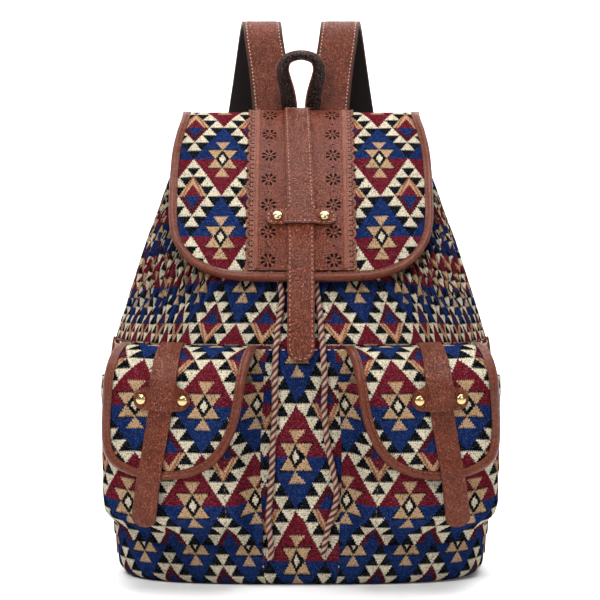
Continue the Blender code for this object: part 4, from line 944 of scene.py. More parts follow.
def make_front():
    """Lower front panel with its middle strip, side bands and soft creases."""
    inset, z = rounded_rows(WAIST_Z - GAP, 3 * MM)[..., None]
    seam = POCKET_INNER - 1 * MM
    end = SEAM_ALONG - 0.2 * MM
    seams = [place + beside for place in (-seam, seam) for beside in (-0.02 * MM, 0.02 * MM)]
    along = np.sort(np.concatenate([np.linspace(-end, end, 150), seams]))
    angle = np.copysign(np.interp(np.abs(along), ROUND_ALONG, ROUND_ANGLES) + 90, along) - 90
    outer = body(angle, z, inset)
    crease = ripple(0.035, 2.0, along, z * 0.6) * 0.9 * MM + ripple(0.016, 5.0, along, z) * 0.35 * MM
    quiet = ramp(z, 4, 20) * (1 - ramp(z, 160, 25))
    run = np.gradient(outer, axis=1)
    lift = np.minimum(crease, 0.25 * MM) * quiet
    outer += unit(joined(run[..., 1], -run[..., 0], 0.0)) * lift[..., None]
    flat = np.where((np.abs(along) < seam)[:, None], weave_place(FRONT_WEAVE, along, z),
                    weave_place(BAND_WEAVE, np.abs(along), z))
    cloth_grid("front_panel_cloth", outer, flat, "lower_front_panel", (0, 0.05, 0.1),
               held="stretched", on=["base_panel", "back_panel"])


def make_upper():
    """Gathered upper panel: folds run down from the channel and fade towards the waist seam."""
    columns, rows = 480, 56
    angles = spread_angles(-179.98, -0.02, columns, CHANNEL_Z)
    heights = np.linspace(WAIST_Z + GAP, CHANNEL_Z - GAP, rows)
    z = heights[:, None]
    share = np.linspace(-1, 1, columns)
    beside = np.abs(share)
    up = (z - WAIST_Z) / (CHANNEL_Z - WAIST_Z)
    outer = body(angles, z)
    wander = ripple(0.05, 7.0, share * 0.1, z)
    phase = share * FOLD_COUNT * math.pi + wander * 1.6 + 0.8 * np.sin(share * 9.0) - (1 - up) * share * 5.0
    main = 1 - np.abs(np.sin(phase))**0.8
    second = 1 - np.abs(np.sin(phase * 2.3 + 1.0 + wander * 2.0))**0.8
    deep = 0.3 + 0.7 * ease((beside - 0.3) / 0.35)
    fade = 0.1 + 0.9 * ease(up / 0.45)
    fold = -(main * FOLD_DEPTH + second * SMALL_FOLD_DEPTH) * fade * deep
    droop = ripple(0.022, 3.0, share * 0.16, z * 1.6) * 0.9 * MM * (1 - up * 0.5) * deep
    normal = unit(np.cross(np.gradient(outer, axis=1), np.gradient(outer, axis=0)))
    if normal[rows // 2, columns // 2, 1] > 0:
        normal = -normal
    end = ease((1 - beside) / 0.02)
    outer = outer + normal * ((fold + np.minimum(droop, 0.4 * MM)) * end)[..., None]
    width, row, _, figure_z = (measure * MM for measure in UPPER_WEAVE)
    slope = run_length(body(-90.0, heights))
    figure = np.interp(figure_z, heights, slope)
    gathered = np.copysign(np.maximum(beside - 0.48, 0)**1.35, share) * 2.4
    squeeze = (share + gathered) * SEAM_ALONG + np.sin(phase * 2) * 0.9 * MM * deep * fade
    flat = joined(squeeze / width + 2, (figure - slope[:, None]) / row - 1 + droop / MM * 0.12
                  - 9 * np.maximum(beside - 0.5, 0) * up)
    cloth_grid("gathered_panel_cloth", outer, flat, "upper_gathered_panel", (0, 0.15, 0.15),
               held="gathered", on=["lower_front_panel", "mouth_channel"])


def make_back():
    """Back panel and base in the same cloth."""
    outer, flats = [], []
    width, row = FRONT_WEAVE[0] * MM, FRONT_WEAVE[1] * MM
    for inset, z in rounded_rows(BACK_TOP_Z, 6 * MM).T:
        trim = 0.00002 + 40 * ramp(z, 325, 22)
        outer.append(body(spread_angles(trim, 180 - trim, 90, z), z, inset))
        along = run_length(outer[-1])
        flats.append(joined((along - along[-1] / 2) / width, -z / row))
    outer = np.array(outer)
    x, y, z = np.moveaxis(outer, -1, 0)
    quiet = ramp(z, 6, 20) * ramp(y, 30, 30) * (1 - ramp(z, 280, 30))
    outer[..., 1] += np.minimum(ripple(0.05, 9.0, x, y, z) * 1.2 * MM, 0.2 * MM) * quiet
    made = cloth_grid("back_panel_cloth", outer, np.array(flats), "back_panel", (0, -0.05, 0.15), BACK_PAD)
    rim = body(np.linspace(0, 360, 121)[:-1], 0.0, BASE_RADIUS + GAP)
    sections = np.stack([rim + (0, 0, h) for h in (0.0, 1.2 * MM, 3 * MM)])
    made = sweep_piece("base_cloth", sections, CLOTH, "base_panel", sections[..., :2] / width)
    declare_cloth(made, *np.ptp(rim[:, :2], axis=0), "stretched", ["lower_front_panel", "back_panel"])


def make_piping(side, name):
    """Piping down one side seam."""
    z = np.linspace(BASE_RADIUS, WAIST_Z - 2 * GAP, 70)
    path = joined(side * (half_width(z) + PIPING_RADIUS + GAP), widest_y(z), z)
    ring = oval(14, PIPING_RADIUS, PIPING_RADIUS) * (1 + 0.05 * np.sin(z * 900)[:, None, None])
    sweep_piece("side_piping_leather_" + name, tube_points(path, ring), BOUND, "side_piping_" + name)


# Mouth and cords.

def channel(angle, inset, z):
    """Upright channel, inside the back panel and on top of the front."""
    behind = ease(1 + np.sin(np.radians(angle)) * 4)
    point = body(angle, CORD_Z + CHANNEL_SIZE / 2 * behind, inset + (BACK_PAD + 5 * GAP) * behind)
    return joined(point[..., 0], point[..., 1], z)


def rope_piece(name, path, replaced):
    """Twisted cord of four plies wound round a centre line."""
    path = even_path(path, 0.8 * MM)
    run = direction(path)
    distance = run_length(path)
    across = [unit(np.cross(run[0], (0.3, 0.9, 0.1)))]
    for here in run[1:]:
        across.append(unit(across[-1] - here * across[-1].dot(here)))
    across = np.array(across)
    other = np.cross(run, across)
    sides, thread = 9, CORD_DIAMETER * 0.25
    points, faces, flat = [], [], []
    for ply in range(4):
        wind = 2 * math.pi * (distance / CORD_TWIST + ply / 4)[:, None]
        centre = path + (across * np.cos(wind) + other * np.sin(wind)) * thread
        ply_run = direction(centre)
        out = unit(centre - path)
        out = unit(out - ply_run * (out * ply_run).sum(-1, keepdims=True))
        rings = rings_at(centre, out, np.cross(ply_run, out), oval(sides, thread, thread))
        faces += tube_faces(len(path), sides, len(points))
        points += [*rings.reshape(-1, 3)]
        flat += [(2.0 * (ply % 2), at) for at in distance for _ in range(sides)]
    return add_piece(name, points, faces, flat, CORD, replaced), path


def make_mouth():
    """Channel round the mouth, eyelets, drawcord and its tails."""
    angles = spread_angles(-90, 270, 241, CHANNEL_Z)[:-1]
    wall, size, corner = CHANNEL_WALL, CHANNEL_SIZE, 1 * MM
    lip = (size - 1.2 * MM) / 2
    profile = ((size, lip), (size, corner), (size - corner, 0), (corner, 0), (0, corner),
               (0, size - corner), (corner, size), (size - corner, size), (size, size - corner),
               (size, size - lip), (size - wall, size - lip), (size - wall, size - wall),
               (wall, size - wall), (wall, wall), (size - wall, wall), (size - wall, lip))
    rings = np.stack([channel(angles, inset, CHANNEL_Z + height) for inset, height in profile], 1)
    pucker = np.abs(0.35 * MM * np.sin(np.radians(angles) * 46))[:, None] * (np.array(profile)[:, 0] < wall)
    rings = rings - unit(rings[:, 4] - rings[:, 1])[:, None] * pucker[..., None]
    along = run_length(rings[:, 5])
    around = np.array([0, 1, 1.2, 2.2, 2.4, 3.4, 3.6, 4.6, 4.8, 5.6, 5.8, 6.6, 7.4, 8.2, 9, 9.6])
    made = sweep_piece("mouth_channel_cloth", rings, CLOTH, "mouth_channel",
                       joined(along[:, None] / (UPPER_WEAVE[0] * MM), around * 0.35), wrap=True)
    declare_cloth(made, along[-1], 4 * (size - wall), "folded", ["upper_gathered_panel", "back_panel"])
    for side, name in SIDES:
        turned_piece("eyelet_ring_" + name, ((3.0, -1.5), (3.4, -1.5), (3.4, 0.3), (5.2, 0.3), (5.5, 0.5),
                                             (5.2, 1.0), (4.4, 1.25), (3.6, 1.1), (3.05, 0.6)),
                     (side * EYELET_X, float(front_y(CORD_Z)), CORD_Z), (0, -1, 0), "eyelet_" + name)
    ring = channel(spread_angles(-90, 270, 33, CHANNEL_Z)[:-1], size / 2, CORD_Z)
    clear_x = EYELET_X + CORD_DIAMETER
    keep = [k for k in range(1, len(ring)) if ring[k][1] > 60 * MM or abs(ring[k][0]) > clear_x]
    ends = [ring[near] * 0.4 + ring[far % len(ring)] * 0.6
            for near, far in ((keep[0], keep[0] - 1), (keep[-1], keep[-1] + 1))]
    rope_piece("drawcord_round_mouth", np.array([ends[0], *ring[keep], ends[1]]), "drawcord_in_channel")
    for name, route in TAIL_ROUTES.items():
        x, z = even_path(np.array(route) * MM, 2.5 * CORD_DIAMETER).T
        lean = (front_middle(x, z + 2 * MM)[:, 1] - front_middle(x, z - 2 * MM)[:, 1]) / (4 * MM)
        path = front_middle(x, z) + unit(joined(0.0, -1.0, lean)) * (CORD_DIAMETER / 2 + GAP)
        piece, path = rope_piece("drawcord_end_" + name, path, "drawcord_tail_" + name)
        tuple(path[0])
        float(run_length(path)[-1])
        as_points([tuple(p) for p in path[::4]] + [tuple(path[-1])])


# Flaps and pockets.

def binding_piece(name, surface, edge, replaced, side=1):
    """Leather folded over a sheet's edge, plump on the front; gives the line of its stitches."""
    over, under = BINDING_SLACK, -FABRIC - BINDING_SLACK
    outer, inner, width = over + BINDING, under - BINDING, BINDING_WIDTH
    plump_part = [(width - back_by * MM, outer + lift * MM) for back_by, lift in (
        (0, -0.7), (0.5, -0.2), (1.7, -0.35), (2.6, 0.6), (3.8, 1.2), (5.0, 1.1))]
    profile = ((width, over), *plump_part, (1.0 * MM, outer + 0.3 * MM), (0.3 * MM, outer - 0.9 * MM),
               (0.0, outer - 1.8 * MM), (0.0, inner + 1.6 * MM), (0.5 * MM, inner + 0.5 * MM),
               (1.4 * MM, inner), (width, inner), (width, under), (BINDING, under), (BINDING, over))
    along = run_length(edge)
    full = 0.3 + 0.7 * ramp(along, 0, 9) * ramp(along[-1] - along, 0, 9)
    pucker = 0.12 * MM * np.sin(along * 1500)
    sections = []
    for inset, lift in profile:
        u, v = offset_left(edge, inset).T
        height = min(lift, over) + (max(lift, over) - over) * full
        if width > inset > 1 * MM and lift > 0:
            height = height + pucker
        sections.append(laid(surface, side * u, np.maximum(v, 0.0), height))
    sweep_piece(name, np.stack(sections, 1), BOUND, replaced)
    return seam_line(surface, offset_left(edge, width - 1.5 * MM), outer - 0.1 * MM, side)


def petal(centre, index):
    """One petal of a flower cut-out."""
    turn = 2 * math.pi * (index + 0.5) / 8
    along = np.array((math.cos(turn), math.sin(turn)))
    across = np.array((-along[1], along[0]))
    return [tuple(np.array(centre) + along * a * MM + across * b * MM) for a, b in PETAL]


def tee(top, top_centre, at, centre, width, tee_width, tee_height):
    """Outline of a strap that widens into a cross tab with rounded ends."""
    half, arm, rise = width / 2, tee_width / 2, tee_height / 2
    fillet, corner = 4 * MM, rise * 0.8
    quarter = np.linspace(0, math.pi / 2, 5)
    neck = [(half + fillet * (1 - math.cos(t)), -rise - fillet + fillet * math.sin(t)) for t in quarter]
    low = [(arm - corner + corner * math.sin(t), -rise + corner - corner * math.cos(t)) for t in quarter]
    side = neck + low + [(u, -v) for u, v in reversed(low)]
    return ([(top_centre + half, top)] + [(centre + u, at + v) for u, v in side]
            + [(centre - u, at + v) for u, v in reversed(side)] + [(top_centre - half, top)])


def rounded_end(half, centre, at, count=17):
    """Half circle at the end of a strap."""
    return [(centre + half * math.cos(t), at + half * math.sin(t)) for t in np.linspace(0, math.pi, count)]


def tongue(start, start_centre, end, end_centre, width):
    """Outline of a strap with a rounded tip."""
    half = width / 2
    return ([(start_centre + half, start)] + rounded_end(half, end_centre, end - half)
            + [(start_centre - half, start)])


def over_tongue(base, rise, centre, half, fade, start):
    """Lift of a cross tab that climbs over the top of its tongue, whose start and half width are given."""
    def lift(u, v):
        beside = 1 - ease((np.abs(u - centre) - half) / fade)
        return base + rise * beside * ramp(v - start, -11, 8)
    return lift


def strap_piece(name, surface, outline, lift, replaced, holes=(), spacing=(3, 3), side=1, bevel=0.4):
    """Brown leather strap of one thickness, with a painted and rounded edge."""
    plate_piece(name, surface, outline, lift, STRAP, BROWN, replaced, holes, spacing, side, bevel=bevel)


def rivet_piece(name, surface, u, v, outer, replaced):
    """Domed rivet from a strap's face through the flap under it."""
    under = (-FABRIC - outer) / MM - 0.3
    head = RIVET_HEAD / 2
    dome = [(head * math.sin(t), 1.1 + 1.8 * math.cos(t)) for t in np.linspace(0.15, math.pi / 2, 9)]
    profile = [(0, 2.9), *dome, (head, 0.75), (head * 0.94, 0.3), (1.5, 0.3), (1.5, under), (3.0, under),
               (3.0, under - 0.9), (0, under - 0.9)]
    axis = normals(surface, np.asarray(u), np.asarray(v))
    turned_piece(name, profile, laid(surface, u, v, outer), axis, replaced)


def stud_pieces(name, seat, strap):
    """Press stud: its socket on the carrier and its post on the strap."""
    seat, strap = Vector(seat), Vector(strap)
    axis = strap - seat
    room = axis.length / MM - 0.9
    half = (room - 1.7) / 2
    turned_piece(name + "_ring", ((2.2, 0.3), (4.7, 0.3), (5.0, 0.6), (4.8, half + 0.2), (4.2, half + 0.3),
                                  (2.2, half + 0.3)), seat, axis, name + "_socket")
    turned_piece(name + "_cap", ((0, 2.0), (4.6, 2.0), (5.0, 2.3), (4.9, 2.0 + half), (1.7, 2.0 + half),
                                 (1.7, room - 0.3), (0, room - 0.3)), strap, -axis, name + "_post")


def make_lace_panel(holes):
    """Cut leather panel with scalloped edges and flowers, its dark backing, welts and lobes."""
    end = FLAP_EDGE[-1][1] * MM - BINDING_WIDTH - 4 * GAP
    scallops = round(end / SCALLOP_PITCH)
    rim = [(LACE_HALF_WIDTH - SCALLOP_DEPTH * (1 - math.sqrt(abs(math.sin(math.pi * share)))),
            (index + share) * end / scallops) for index in range(scallops) for share in np.arange(6) / 6]
    rim.append((LACE_HALF_WIDTH - SCALLOP_DEPTH, end))
    cuts = []
    for column, _ in SIDES:
        for index in range(FLOWER_COUNT):
            centre = (column * FLOWER_X, FLOWER_START + index * FLOWER_PITCH)
            if abs(centre[1] - FLAP_TEE_AT) < (FLAP_TEE_HEIGHT + RIVET_HOLE) / 2:
                continue
            cuts += [petal(centre, k) for k in range(8)] + [circle(*centre, PIN_HOLE)]
        cuts += [circle(column * FLOWER_X, FLOWER_START + place * FLOWER_PITCH, PIN_HOLE)
                 for place in np.arange(FLOWER_COUNT - 1) + 0.5]
        cuts += [circle(column * (LACE_HALF_WIDTH - beside * MM),
                        (index + 0.5) * end / scallops + down * MM, PIN_HOLE)
                 for index in range(scallops) for beside, down in LOBE_HOLES]
    outlines = [[(u - inset, v) for u, v in rim] + [(inset - u, v) for u, v in reversed(rim)]
                for inset in (0.0, 0.9 * MM)]
    plate_piece("cut_leather_panel", flap, outlines[0], GAP, LEATHER, LACE, "flap_lace_panel", holes + cuts,
                (6, 5))
    plate_piece("lace_panel_backing", flap, outlines[1], 0.08 * MM, 0.14 * MM, LINING, (), holes, (6, 5),
                painted=False)
    rows = []
    v = np.arange(15 * MM, end - 1 * MM, 1.5 * MM)
    lobes = np.array(rim) - (0.8 * MM, 0)
    lobes = lobes[lobes[:, 1] > 3 * MM]
    for column, name in SIDES:
        middle = column * (LACE_HALF_WIDTH - LACE_WELT_INSET)
        centre, out = seam_line(flap, joined(middle, v), GAP + LEATHER)
        sweep_piece("lace_panel_welt_" + name,
                    rings_at(centre, np.array((1.0, 0, 0)), out, oval(10, 1.7 * MM, 0.7 * MM)), WELT)
        rows.append(seam_line(flap, joined(middle - column * 2.9 * MM, v), GAP + LEATHER))
        centre, out = seam_line(flap, lobes * (column, 1), GAP + LEATHER)
        beside = np.cross(direction(centre), out)
        sweep_piece("lace_panel_lobes_" + name,
                    rings_at(centre, beside, out, oval(10, 0.75 * MM, 0.45 * MM)), WELT)
    stitch_piece("lace_panel_stitching", rows, LACE_STITCH, BROWN_THREAD)


def make_flap():
    """Main flap with its binding, cut leather panel, strap, rivets and stud."""
    right = even_path(np.array(FLAP_EDGE) * MM, 2.2 * MM)
    edge = np.concatenate([right, right[-2::-1] * (-1, 1)])
    sheet = even_path(offset_left(edge, BINDING + GAP), 5 * MM, smooth=False)
    sheet[[0, -1], 1] = 0
    rivets = [side * FLAP_RIVET_SPREAD for side, _ in SIDES]
    holes = [circle(u, FLAP_TEE_AT, RIVET_HOLE, 12) for u in rivets]

    def pattern(u, v):
        return weave_place(FLAP_WEAVE, np.abs(u), v) + joined(0.0, ripple(0.03, 1.0, u, v) * 0.12)

    def underside(u, v):
        free = ramp(np.abs(u) - LACE_HALF_WIDTH, 0, 10) * ramp(np.abs(u), 98, -12)
        free = free * ramp(v, 180, -14) * ramp(v, 14, 20)
        return (1.1 * MM + ripple(0.04, 4.0, u, v) * 0.8 * MM) * free - FABRIC

    made = plate_piece("flap_cloth", flap, sheet, underside, FABRIC, CLOTH, "flap_fabric", holes,
                       (3.5, 3.5), place=pattern, painted=False)
    declare_cloth(made, *np.ptp(sheet, axis=0), "hung", ["back_panel"])
    bound = binding_piece("flap_binding_leather", flap, edge[edge[:, 1] > 17 * MM], "flap_binding")
    make_lace_panel(holes)

    base = 2 * GAP + LEATHER
    start = FLAP_TEE_AT - 20 * MM
    tee_lift = over_tongue(base, STRAP + GAP, 0.0, FLAP_STRAP_WIDTH / 2 + 0.4 * MM, 3 * MM, start)
    outline = tee(FLAP_STRAP_TOP, FLAP_STRAP_LEAN, FLAP_TEE_AT, 0.0, FLAP_STRAP_WIDTH, FLAP_TEE_WIDTH,
                  FLAP_TEE_HEIGHT)
    strap_piece("flap_strap_tee_leather", flap, outline, tee_lift, "flap_strap_tee", holes, (2.5, 3),
                bevel=0.45)
    strap_piece("flap_strap_tongue_leather", flap,
                tongue(start, 0.0, FLAP_TONGUE_END, 0.0, FLAP_STRAP_WIDTH), base, "flap_strap_tongue", (),
                (4, 3), bevel=0.45)
    half, turn_at = FLAP_STRAP_WIDTH / 2 - 2.0 * MM, FLAP_TONGUE_END - FLAP_STRAP_WIDTH / 2
    v = np.arange(FLAP_TEE_AT + 9 * MM, turn_at, 2 * MM)
    line = [(half, a) for a in v] + rounded_end(half, 0.0, turn_at, 14) + [(-half, a) for a in v[::-1]]
    stitch_piece("flap_stitching", [bound], BINDING_STITCH, BROWN_THREAD)
    stitch_piece("flap_strap_stitching",
                 [seam_line(flap, closed_inset(outline, 2.0 * MM), lambda u, v: tee_lift(u, v) + STRAP),
                  seam_line(flap, np.array(line), base + STRAP)], FLAP_STRAP_STITCH, ROSE_THREAD)
    for u, (_, name) in zip(rivets, SIDES):
        rivet_piece("flap_rivet_head_" + name, flap, u, FLAP_TEE_AT, base + STRAP, "flap_rivet_" + name)
    strap = laid(flap, 0.0, FLAP_STUD_AT, base)
    stud_pieces("flap_stud", front_middle(np.asarray(0.0), np.asarray(strap[2])), strap)


def make_pocket(side, name):
    """One pocket with its flap, binding, strap, rivets and stud."""
    inner, outer = POCKET_INNER - 2 * MM, SEAM_ALONG - 2.3 * MM
    s = np.concatenate([np.linspace(inner, POCKET_INNER + 24 * MM, 26),
                        np.linspace(POCKET_INNER + 26 * MM, outer, 54)])
    z = np.concatenate([np.linspace(POCKET_BOTTOM_Z - 4 * MM, POCKET_BOTTOM_Z + 26 * MM, 16),
                        np.linspace(POCKET_BOTTOM_Z + 29 * MM, POCKET_MOUTH_Z, 34)])[:, None]
    up, below_mouth = z - POCKET_BOTTOM_Z, POCKET_MOUTH_Z - z
    face = POCKET_INNER + 20 * MM
    welt = np.exp(-((s - face) / (1.4 * MM))**2) * 0.9 * MM * ramp(up, 8, 20) * ramp(below_mouth, 0, 20)
    slack = ripple(0.03, 11.0 + side, s * 0.8, z) * 1.6 * MM + ripple(0.013, 4.0 + side, s, z) * 0.5 * MM
    slack += ripple(0.009, 8.0 + side, s * 0.3, z) * 2.2 * MM * (1 - ramp(up, 12, 30))
    room = ramp(s - POCKET_INNER, 10, 12) * ramp(outer - s, 0, 30)
    room = room * ramp(up, 2, 10) * ramp(below_mouth, 0, 30)
    lift = np.maximum(pocket_lift(s, z), FABRIC) + GAP
    cloth_grid("pocket_cloth_" + name, front(side * s, z, lift + welt + np.minimum(slack, 0.6 * MM) * room),
               weave_place(POCKET_WEAVE, s, z), "pocket_" + name, (0, 0.1, 0.1), held="stretched",
               on=["lower_front_panel"])
    seam, heights = face + 3.4 * MM, np.arange(POCKET_BOTTOM_Z + 16 * MM, POCKET_MOUTH_Z - 4 * MM, 2 * MM)
    here = front(side * seam, heights, pocket_lift(seam, heights) + GAP + 0.1 * MM)
    row = here, unit(here - front(side * seam, heights))
    stitch_piece("pocket_stitching_" + name, [row], POCKET_STITCH, BROWN_THREAD)

    edge = even_path(np.array(POCKET_FLAP_EDGE[::-1]) * MM, 2.2 * MM)
    sheet = even_path(offset_left(edge, BINDING + GAP), 4.5 * MM, smooth=False)
    rivets = [POCKET_STRAP_ALONG + k * POCKET_RIVET_SPREAD for k in (-1, 1)]
    holes = [circle(u, POCKET_TEE_AT, RIVET_HOLE, 12) for u in rivets]

    def underside(u, v):
        free = ramp(u, 52, 10) * ramp(u, 130, -10) * ramp(v, 104, -12) * ramp(v, 4, 12)
        away = ramp(np.abs(u - POCKET_STRAP_ALONG), 19, 6)
        return (0.8 * MM + ripple(0.03, 6.0 + side, u, v) * 0.9 * MM) * free * away - FABRIC

    made = plate_piece("pocket_flap_cloth_" + name, pocket_flap, sheet, underside, FABRIC, CLOTH,
                       "pocket_flap_" + name, holes, (3.5, 3.5), side,
                       lambda u, v: weave_place(POCKET_FLAP_WEAVE, u, -v), painted=False)
    declare_cloth(made, *np.ptp(sheet, axis=0), "hung", ["lower_front_panel"])
    bound = binding_piece("pocket_binding_leather_" + name, pocket_flap, edge[edge[:, 1] > 3.5 * MM],
                          "pocket_flap_binding_" + name, side)

    start = POCKET_TEE_AT - 10 * MM
    lean = (POCKET_TONGUE_END_ALONG - POCKET_STRAP_ALONG) / (POCKET_TONGUE_END - POCKET_TEE_AT)
    hem = max(v for _, v in POCKET_FLAP_EDGE) * MM - BINDING_WIDTH
    base = 2 * GAP

    def tongue_lift(u, v):
        return base + (BINDING_SLACK + BINDING + 0.5 * MM) * ramp(v - hem, -9, 8)

    tee_lift = over_tongue(base, STRAP + base + 2 * GAP, POCKET_STRAP_ALONG, POCKET_STRAP_WIDTH / 2 + GAP,
                           0.9 * MM, start)
    outline = tee(1 * MM, POCKET_STRAP_TOP_ALONG, POCKET_TEE_AT, POCKET_STRAP_ALONG, POCKET_STRAP_WIDTH,
                  POCKET_TEE_WIDTH, POCKET_TEE_HEIGHT)
    strap_piece("pocket_strap_tee_leather_" + name, pocket_flap, outline, tee_lift,
                "pocket_strap_tee_" + name, holes, (2, 3), side)
    outline = tongue(start, POCKET_STRAP_ALONG + lean * (start - POCKET_TEE_AT), POCKET_TONGUE_END,
                     POCKET_TONGUE_END_ALONG, POCKET_TONGUE_WIDTH)
    strap_piece("pocket_strap_tongue_leather_" + name, pocket_flap, outline, tongue_lift,
                "pocket_strap_tongue_" + name, (), (4, 3), side)
    stitch_piece("pocket_binding_stitching_" + name, [bound], BINDING_STITCH, BROWN_THREAD)
    for u, place in zip(rivets, ("inner_", "outer_")):
        rivet_piece("pocket_rivet_head_" + place + name, pocket_flap, side * u, POCKET_TEE_AT, base + STRAP,
                    "pocket_rivet_" + place + name)
    along = POCKET_STRAP_ALONG + lean * (POCKET_STUD_AT - POCKET_TEE_AT)
    strap = laid(pocket_flap, side * along, POCKET_STUD_AT, base + BINDING_SLACK + BINDING)
    seat = front(np.asarray(side * along), strap[2], pocket_lift(along, strap[2]) + GAP)
    stud_pieces("pocket_stud_" + name, seat, strap)


# Straps and handle.

def mirrored(points, side):
    """Left-hand points in millimetres, turned to the side asked for."""
    return np.array(points, float) * MM * (-side, 1, 1)


def strip_ring(width, low, high, crown):
    """Section of a strap: rounded corners and a crowned back."""
    half = width / 2
    corner = min((high - low) * 0.4, 1.2 * MM)
    across = half - corner
    ring = []
    for quarter, (u, n) in enumerate(((across, high - corner), (-across, high - corner),
                                      (-across, low + corner), (across, low + corner))):
        ring += [(u + corner * math.cos(t), n + corner * math.sin(t))
                 for t in np.linspace(0, math.pi / 2, 4) + quarter * math.pi / 2]
        if quarter in (0, 2):
            level, rise = (high, crown) if quarter == 0 else (low, 0.0)
            ring += [(w, level + rise * (1 - (w / half)**4)) for w in np.linspace(u, -u, 9)[1:-1]]
    return np.array(ring)


def make_shoulder(side, name):
    """One shoulder strap with its lining, painted edges and stitching."""
    line = even_path(mirrored(SHOULDER_LINE, side), 3 * MM)
    place = np.linspace(0, 1, len(line))
    swell = ease(place * 18 / 4) * ease((1 - place) * 18 / 3 + 0.3)
    width = SHOULDER_WIDTH - 8 * MM * ease((place - 1) * 18 / 4 + 1)
    for full, narrower, way, piece, material, node in (
            (SHOULDER_LEATHER, 0.0, -1, "shoulder_leather_", BROWN, "shoulder_strap_"),
            (SHOULDER_LINING, 0.8 * MM, 1, "shoulder_lining_", LINING, "shoulder_strap_lining_")):
        tops = GAP / 2 + SHOULDER_END + (full - SHOULDER_END) * swell
        shape = np.array([strip_ring(w - narrower, GAP / 2, top, 0.5 * MM * s)
                          for w, top, s in zip(width, tops, swell)])
        made = sweep_piece(piece + name, tube_points(line, shape * (1, way)), material, node + name)
    run = direction(line)
    across = unit(np.array((1.0, 0, 0)) - run * run[:, :1])
    out = np.cross(run, across)
    high = (GAP / 2 + SHOULDER_END + (SHOULDER_LEATHER - SHOULDER_END) * swell)[:, None]
    half = width[:, None] / 2
    rows = [(line + across * (edge * (half - 2.7 * MM)) - out * (high + 0.1 * MM), -out)
            for edge in (-1, 1)]
    stitch_piece("shoulder_stitching_" + name, rows, SHOULDER_STITCH)
    for edge, beside in ((-1, "inner_"), (1, "outer_")):
        rim = line + across * (edge * (half - 0.7 * MM)) - out * (high - 0.35 * MM)
        sweep_piece("shoulder_edge_" + beside + name, tube_points(rim, oval(8, 0.95 * MM, 0.6 * MM)), EDGE)


def make_webbing(side, name):
    """Webbing from one shoulder strap to its corner tab, woven through an adjuster."""
    top, foot = mirrored((WEBBING_TOP, WEBBING_FOOT), side)
    length = np.linalg.norm(foot - top)
    down = (foot - top) / length
    normal = unit(np.cross(down, (1.0, 0, 0)))
    normal = normal if normal[1] > 0 else -normal
    centre = top + (foot - top) * ADJUSTER_AT
    weave = ADJUSTER_LENGTH / 2 - ADJUSTER_BAR / 2
    woven = [centre + down * at * weave + normal * lift * ADJUSTER_WEAVE
             for at, lift in ((-1, -1), (-0.5, 0), (0, 1), (0.5, 0), (1, -1))]
    path = even_path([top, top + down * (ADJUSTER_AT * length - ADJUSTER_LENGTH), *woven,
                      centre + down * ADJUSTER_LENGTH, foot - down * 20 * MM, foot], 1.5 * MM)
    ring = strip_ring(WEBBING_WIDTH, -WEBBING_THICKNESS / 2, WEBBING_THICKNESS / 2, 0.0)
    sweep_piece("webbing_tape_" + name, tube_points(path, ring), WEBBING, "strap_webbing_" + name)

    def window(half, low, high):
        return [(-half, low), (half, low), (half, high), (-half, high)]

    inner = WEBBING_WIDTH / 2 + 0.8 * MM
    reach = ADJUSTER_BAR / 2 + (ADJUSTER_LENGTH - 3 * ADJUSTER_BAR) / 2
    holes = [window(inner, *sorted((at * ADJUSTER_BAR / 2, at * reach))) for at in (-1, 1)]
    points, faces, rim = flat_mesh(
        window(inner + ADJUSTER_RAIL, -ADJUSTER_LENGTH / 2, ADJUSTER_LENGTH / 2), holes, (8, 8))
    flat = centre + points @ np.array((np.cross(normal, down), down))
    layers = [flat + normal * lift for lift in (-ADJUSTER_THICKNESS / 2, ADJUSTER_THICKNESS / 2)]
    slab_piece("adjuster_" + name, *layers, faces, rim, points, GOLD, "strap_adjuster_" + name, bevel=0.5)

    x, z = abs(WEBBING_FOOT[0]) * MM, WEBBING_FOOT[2] * MM
    outline = [(x + u * TAB_SIDE, z + v * TAB_SIDE)
               for u, v in ((-0.75, 0.45), (-0.2, -0.45), (0.3, -0.45), (0.3, 0.2))]
    plate_piece("corner_tab_leather_" + name, back, outline, GAP, LEATHER, BROWN, "corner_tab_" + name,
                side=side, bevel=0.3)
    stitch_piece("corner_tab_stitching_" + name,
                 [seam_line(back, closed_inset(outline, 2 * MM), GAP + LEATHER, side)], TAB_STITCH)


